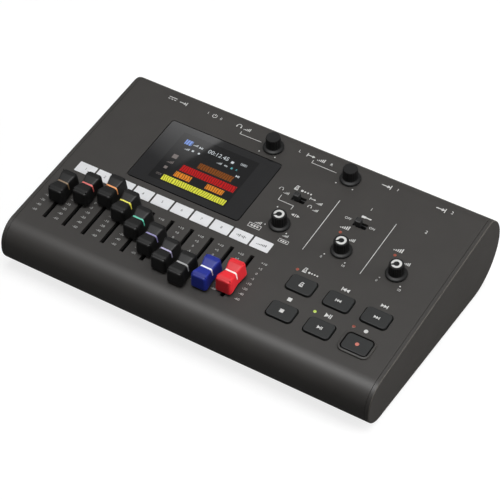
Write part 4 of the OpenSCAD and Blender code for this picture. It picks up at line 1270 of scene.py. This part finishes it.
class RECORDER_OT_rear(bpy.types.Operator):
    """Finishes the rear plate, its sockets and their metal liners"""

    bl_idname = "recorder.rear"
    bl_label = "Rear sockets"

    jacks = (-47.7 * MM, -1.0 * MM, 18.4 * MM)
    inputs = (65.6 * MM, 105.8 * MM)
    middle = 32.5 * MM
    pin_circle, latch_rise, screw_way = 5.6 * MM, 10.75 * MM, 9.8 * MM
    # Sleeves in the sockets: outer and inner radius, then foot and top from the plate, in millimetres
    jack_sleeve = (4.4, 3.25, 1.0, 2.3)
    input_sleeve = (4.2, 3.25, 0.2, 1.1)
    pin_sleeve = (1.17, 0.75, -2.5, 0.7)
    # Symbols and text: kind or text, x, z and size in millimetres, and the bar over the two outputs
    legends = (("in", 69.0, 47.6, 1.6), ("in", 109.2, 47.6, 1.6), ("out", 8.7, 47.4, 1.6),
               ("phones", -47.7, 42.0, 1.6), ("power", -70.4, 30.4, 1.4), ("direct", -101.5, 27.4, 1.5))
    numbers = (("1", 63.0, 47.6, 3.6), ("2", 103.2, 47.6, 3.6), ("L", -1.0, 41.8, 3.4),
               ("R", 18.4, 41.8, 3.4), ("1", -75.2, 30.4, 2.8), ("0", -65.6, 30.4, 2.8))
    bracket = ("bar", -8.7, 44.6, 19.8, 0.35)

    def execute(self, context):
        black, steel = socket_finish(), steel_finish()
        rear = finish("rear_plate", srgb(36, 36, 36), 0.55, grain=2000, bump=0.25, mottle=0.06)
        nickel = metal_finish("nickel", srgb(150, 152, 155), 0.3)
        brass = metal_finish("contact_brass", srgb(186, 148, 84), 0.35, mottle=0.1)
        give(refined("rear_panel", "socket_plate"), rear, "rear_plate", "rear_panel")
        for node in ("combo_sockets", "jack_sockets"):
            give(refined(node, node + "_bodies", 0.2 * MM), black, "socket_plastic", node)
        give(refined("usb_socket", "usb_shell", 0.1 * MM), steel, "steel", "usb_socket")
        give(refined("power_slider", "power_nub", 0.2 * MM), black, "slider_plastic", "power_slider",
             body="power_slider")
        inputs = [(x, self.middle) for x in self.inputs]
        mouths = self.row(self.sleeve(*self.jack_sleeve), [(x, self.middle) for x in self.jacks])
        mouths += self.row(self.sleeve(*self.input_sleeve), inputs)
        give(smooth(join(mouths, "socket_mouths")), nickel, "steel")
        turns = [math.radians(turn) for turn in (90, 210, 330)]
        pins = [(x + self.pin_circle * math.cos(turn), z + self.pin_circle * math.sin(turn))
                for x, z in inputs for turn in turns]
        contacts = self.row(self.sleeve(*self.pin_sleeve), pins)
        give(smooth(join(contacts, "contact_sleeves")), brass, "steel")
        tabs = self.row(self.latch(), [(x, z + self.latch_rise) for x, z in inputs])
        give(smooth(join(tabs, "latch_tabs")), black, "socket_plastic")
        corners = [(x + way, z + way) for x, z in inputs for way in (-self.screw_way, self.screw_way)]
        give(smooth(join(self.row(self.screw(), corners), "socket_screws")), nickel, "steel")
        legends, numbers = [[(what, -x, z, size) for what, x, z, size in group]
                            for group in (self.legends, self.numbers)]
        marks = printed("rear_marks", 0, control_sizes().ink, legends, [self.bracket], numbers)
        give(on_rear(marks), ink_finish(), "rear_plate")
        return {"FINISHED"}

    def sleeve(self, outer, inner, low, high):
        """A metal sleeve at the mouth of a socket, in millimetres from the plate."""
        tube = drum("sleeve", outer * MM, low * MM, high * MM, 40)
        cut(tube, drum("tool", inner * MM, (low - 1) * MM, (high + 1) * MM, 40))
        return soften(tube, high * MM, 0.12 * MM, 2)

    def latch(self):
        """The tab that frees a plug."""
        wide, deep, foot, top, corner = 4.6 * MM, 1.7 * MM, 0.5 * MM, 1.7 * MM, 0.4 * MM
        return soften(rounded_block("latch", wide, deep, foot, top, corner, 3), top, 0.3 * MM)

    def screw(self):
        """A domed screw head with a cross cut into it."""
        radius, foot, top, slot_long, slot_wide = 1.5 * MM, -0.2 * MM, 0.8 * MM, 1.7 * MM, 0.42 * MM
        head = soften(drum("head", radius, foot, top, 32), top, 0.5 * MM, 4)
        for wide, deep in ((slot_long, slot_wide), (slot_wide, slot_long)):
            cut(head, rounded_block("tool", wide, deep, top / 2, 2 * MM, 0.1 * MM, 1))
        return head

    def row(self, pattern, spots):
        """Copies of a pattern at places on the rear plate."""
        copies = [on_rear(twin(pattern, "copy"), x, z) for x, z in spots]
        drop(pattern)
        return copies


class RECORDER_OT_inner_parts(bpy.types.Operator):
    """Finishes the solids that stay as they are"""

    bl_idname = "recorder.inner_parts"
    bl_label = "Inner parts"

    def execute(self, context):
        board = finish("board_green", srgb(24, 72, 44), 0.4, grain=700, bump=0.1, mottle=0.25)
        dark = finish("slot_dark", srgb(9, 9, 9), 0.7, grain=2200, bump=0.1, mottle=0.1, specular=0.05)
        sleeve = finish("cell_sleeve", srgb(150, 112, 58), 0.35, grain=500, bump=0.02, mottle=0.2, coat=0.3)
        card = finish("card_blue", srgb(32, 48, 92), 0.45, grain=2000, bump=0.1, mottle=0.08)
        display = finish("display_dark", srgb(20, 22, 25), 0.3, grain=900, bump=0.02, mottle=0.1)
        levers = [f"fader_lever_{k + 1}" for k in range(FADERS)]
        for material, names in ((steel_finish(), ("screws", "battery_contacts", "card_socket")),
                                (socket_finish(), ("switch_bodies", "tact_switches", "pot_bodies")),
                                (board, ("panel_board", "main_board")), (dark, ("fader_frames", *levers)),
                                (sleeve, ("battery_cells",)), (card, ("memory_card",)),
                                (display, ("display_module",))):
            for name in names:
                NODES[name].data.materials.clear()
                NODES[name].data.materials.append(material)
        return {"FINISHED"}


class RECORDER_OT_stage(bpy.types.Operator):
    """Sets the floor, the room's light, the soft boxes and the camera"""

    bl_idname = "recorder.stage"
    bl_label = "Stage"

    def execute(self, context):
        stage = context.scene.recorder_stage
        self.room(context, stage.fill)
        self.floor()
        self.lamp("top_light", (0.2, -0.1, 1.5), (0, -0.05, 0.03), 1.5, 1.0, stage.top)
        self.lamp("key_light", (-0.45, -1.3, 0.9), (0, 0, 0.03), 1.2, 0.6, stage.key)
        self.lamp("side_light", (0.95, 0.25, 0.3), (0.1, 0.02, 0.03), 0.7, 0.4, stage.side)
        self.lamp("nose_strip", (0.0, -0.47, 1.36), (0.05, -0.05, 0.03), 0.9, 0.5, stage.strip, gleam=True)
        self.lamp("edge_strip", (0.7, 0.66, 1.15), (0, 0, 0.03), 0.5, 0.5, stage.rim, gleam=True)
        self.reflector((-0.7083, 0.6902, 1.2209), (-0.5598, -0.8111, 0.1688), 0.19, 0.08)
        self.lamp("back_light", (0.2, 1.6, 0.4), (0, 0.08, 0.03), 1.2, 0.5, stage.back)
        for name, place, wide, deep, turn in (("floor_card", (0, 0, -0.1 * MM), 1.6, 1.6, 0),
                                              ("rear_card", (-0.2, 0.9, 0.2), 2.0, 0.45, math.pi / 2)):
            tree = self.glossy_card(name, place, (turn, 0, 0), wide, deep)
            set_inputs(tree.nodes["Principled BSDF"], Base_Color=(0.16, 0.16, 0.16, 1), Roughness=0.9)
        self.camera(context, stage)
        context.scene.view_settings.view_transform = "Standard"
        return {"FINISHED"}

    def camera(self, context, stage):
        """The camera, where the picture was taken from."""
        bpy.ops.object.camera_add(location=stage.eye)
        camera = context.active_object
        camera.name = "photo_camera"
        back = Vector(stage.aim).normalized()
        right = Vector(stage.rise).cross(back).normalized()
        turn = Matrix((right, back.cross(right), back)).transposed().to_4x4()
        camera.matrix_world = Matrix.Translation(stage.eye) @ turn
        camera.data.sensor_width = 36
        camera.data.lens = stage.lens
        camera.data.clip_start, camera.data.clip_end = 0.01, 50
        context.scene.camera = camera

    def show(self, tree, unseen, seen, output):
        """Lights by one shader and shows another to the camera, directly, by reflection or through glass."""
        path, mix = add_node(tree, "LightPath"), add_node(tree, "MixShader")
        shown = path.outputs["Is Camera Ray"]
        for name in ("Is Glossy Ray", "Is Transmission Ray"):
            either = add_node(tree, "Math")
            either.operation = "MAXIMUM"
            tree.links.new(shown, either.inputs[0])
            tree.links.new(path.outputs[name], either.inputs[1])
            shown = either.outputs["Value"]
        tree.links.new(shown, mix.inputs["Fac"])
        wire(tree, (unseen, 0, mix, 1), (seen, 0, mix, 2), (mix, "Shader", tree.nodes[output], "Surface"))

    def room(self, context, fill):
        """Even light all round, seen as white by the camera."""
        world = bpy.data.worlds.new("room")
        context.scene.world = world
        world.use_nodes = True
        tree = world.node_tree
        light = set_inputs(tree.nodes["Background"], Color=WHITE, Strength=fill)
        self.show(tree, light, add_node(tree, "Background", Color=WHITE), "World Output")

    def floor(self):
        """A wide pale floor that keeps the object's shadow."""
        bare()
        bpy.ops.mesh.primitive_plane_add(size=60, location=(0, 0, -0.2 * MM))
        obj = bpy.context.active_object
        obj.name = "floor"
        material, tree = new_material("floor_white")
        tree.nodes.remove(tree.nodes["Principled BSDF"])
        dim = add_node(tree, "BsdfDiffuse", Color=(0.15, 0.15, 0.15, 1))
        pale = add_node(tree, "BsdfDiffuse", Color=(0.28, 0.28, 0.28, 1))
        lift, both = add_node(tree, "Emission", Strength=0.78), add_node(tree, "AddShader")
        wire(tree, (pale, 0, both, 0), (lift, 0, both, 1))
        self.show(tree, dim, both, "Material Output")
        obj.data.materials.append(material)

    def glossy_card(self, name, place, turn, wide, deep):
        """A card that only glossy surfaces show, so that edges turned to a dim one stay dark."""
        bare()
        bpy.ops.mesh.primitive_plane_add(size=1, location=place, rotation=turn)
        bpy.context.active_object.scale = (wide, deep, 1)
        obj = settle(bpy.context.active_object, name)
        obj.visible_camera = obj.visible_diffuse = obj.visible_shadow = obj.visible_transmission = False
        material, tree = new_material(name)
        obj.data.materials.append(material)
        return tree

    def reflector(self, place, along, wide, deep):
        """A card that faces the window and grows brighter to the rear, for the bright sweep in its glass."""
        ahead = (sum(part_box("screen_window"), Vector()) / 2 - Vector(place)).normalized()
        along = (Vector(along) - ahead * ahead.dot(Vector(along))).normalized()
        turn = Matrix((along, ahead.cross(along), ahead)).transposed().to_euler()
        tree = self.glossy_card("reflector_card", place, turn, wide, deep)
        tree.nodes.remove(tree.nodes["Principled BSDF"])
        where, split, light = [add_node(tree, kind) for kind in ("TexCoord", "SeparateXYZ", "Emission")]
        fade = add_node(tree, "MapRange", From_Min=0.66, From_Max=0.726, To_Min=0.8, To_Max=8.0)
        wire(tree, (where, "Object", split, "Vector"), (split, "Y", fade, "Value"),
             (fade, "Result", light, "Strength"),
             (light, "Emission", tree.nodes["Material Output"], "Surface"))

    def lamp(self, name, place, target, wide, deep, watts, gleam=False):
        """A soft box turned to a point, which lights a surface's own colour or only its gleam."""
        bare()
        bpy.ops.object.light_add(type="AREA", location=place)
        lamp = bpy.context.active_object
        lamp.name = name
        lamp.data.shape = "RECTANGLE"
        lamp.data.size, lamp.data.size_y = wide, deep
        lamp.data.energy = watts
        back = (Vector(place) - Vector(target)).normalized()
        along = (Vector((1, 0, 0)) - back * back.x).normalized()
        lamp.rotation_euler = Matrix((along, back.cross(along), back)).transposed().to_euler()
        lamp.visible_diffuse, lamp.visible_glossy = not gleam, gleam


class RECORDER_PT_panel(bpy.types.Panel):
    """Lists the pieces in the sidebar"""

    bl_idname = "RECORDER_PT_panel"
    bl_label = "Recorder"
    bl_space_type = "VIEW_3D"
    bl_region_type = "UI"
    bl_category = "Recorder"

    def draw(self, context):
        for name in STEPS:
            self.layout.operator("recorder." + name)
        for group in GROUPS:
            sizes = getattr(context.scene, group)
            box = self.layout.box()
            for key in sizes.__annotations__:
                box.prop(sizes, key)


GROUPS = {"recorder_case": CaseSizes, "recorder_controls": ControlSizes, "recorder_colours": FinishColours,
          "recorder_stage": StageSizes}
OPERATORS = (RECORDER_OT_top_shell, RECORDER_OT_cheeks, RECORDER_OT_window, RECORDER_OT_screen_picture,
             RECORDER_OT_labels, RECORDER_OT_fader_caps, RECORDER_OT_knobs, RECORDER_OT_buttons,
             RECORDER_OT_switch_nubs, RECORDER_OT_lamps, RECORDER_OT_print, RECORDER_OT_base,
             RECORDER_OT_rear, RECORDER_OT_inner_parts, RECORDER_OT_stage)
STEPS = [operator.bl_idname.split(".")[1] for operator in OPERATORS]


def register():
    for group in GROUPS.values():
        bpy.utils.register_class(group)
    for operator in OPERATORS:
        bpy.utils.register_class(operator)
    bpy.utils.register_class(RECORDER_PT_panel)
    for name, group in GROUPS.items():
        setattr(bpy.types.Scene, name, PointerProperty(type=group))


def unregister():
    for name in GROUPS:
        delattr(bpy.types.Scene, name)
    bpy.utils.unregister_class(RECORDER_PT_panel)
    for operator in reversed(OPERATORS):
        bpy.utils.unregister_class(operator)
    for group in reversed(list(GROUPS.values())):
        bpy.utils.unregister_class(group)


def main():
    register()
    for step in STEPS:
        getattr(bpy.ops.recorder, step)()


if __name__ == "__main__":
    main()
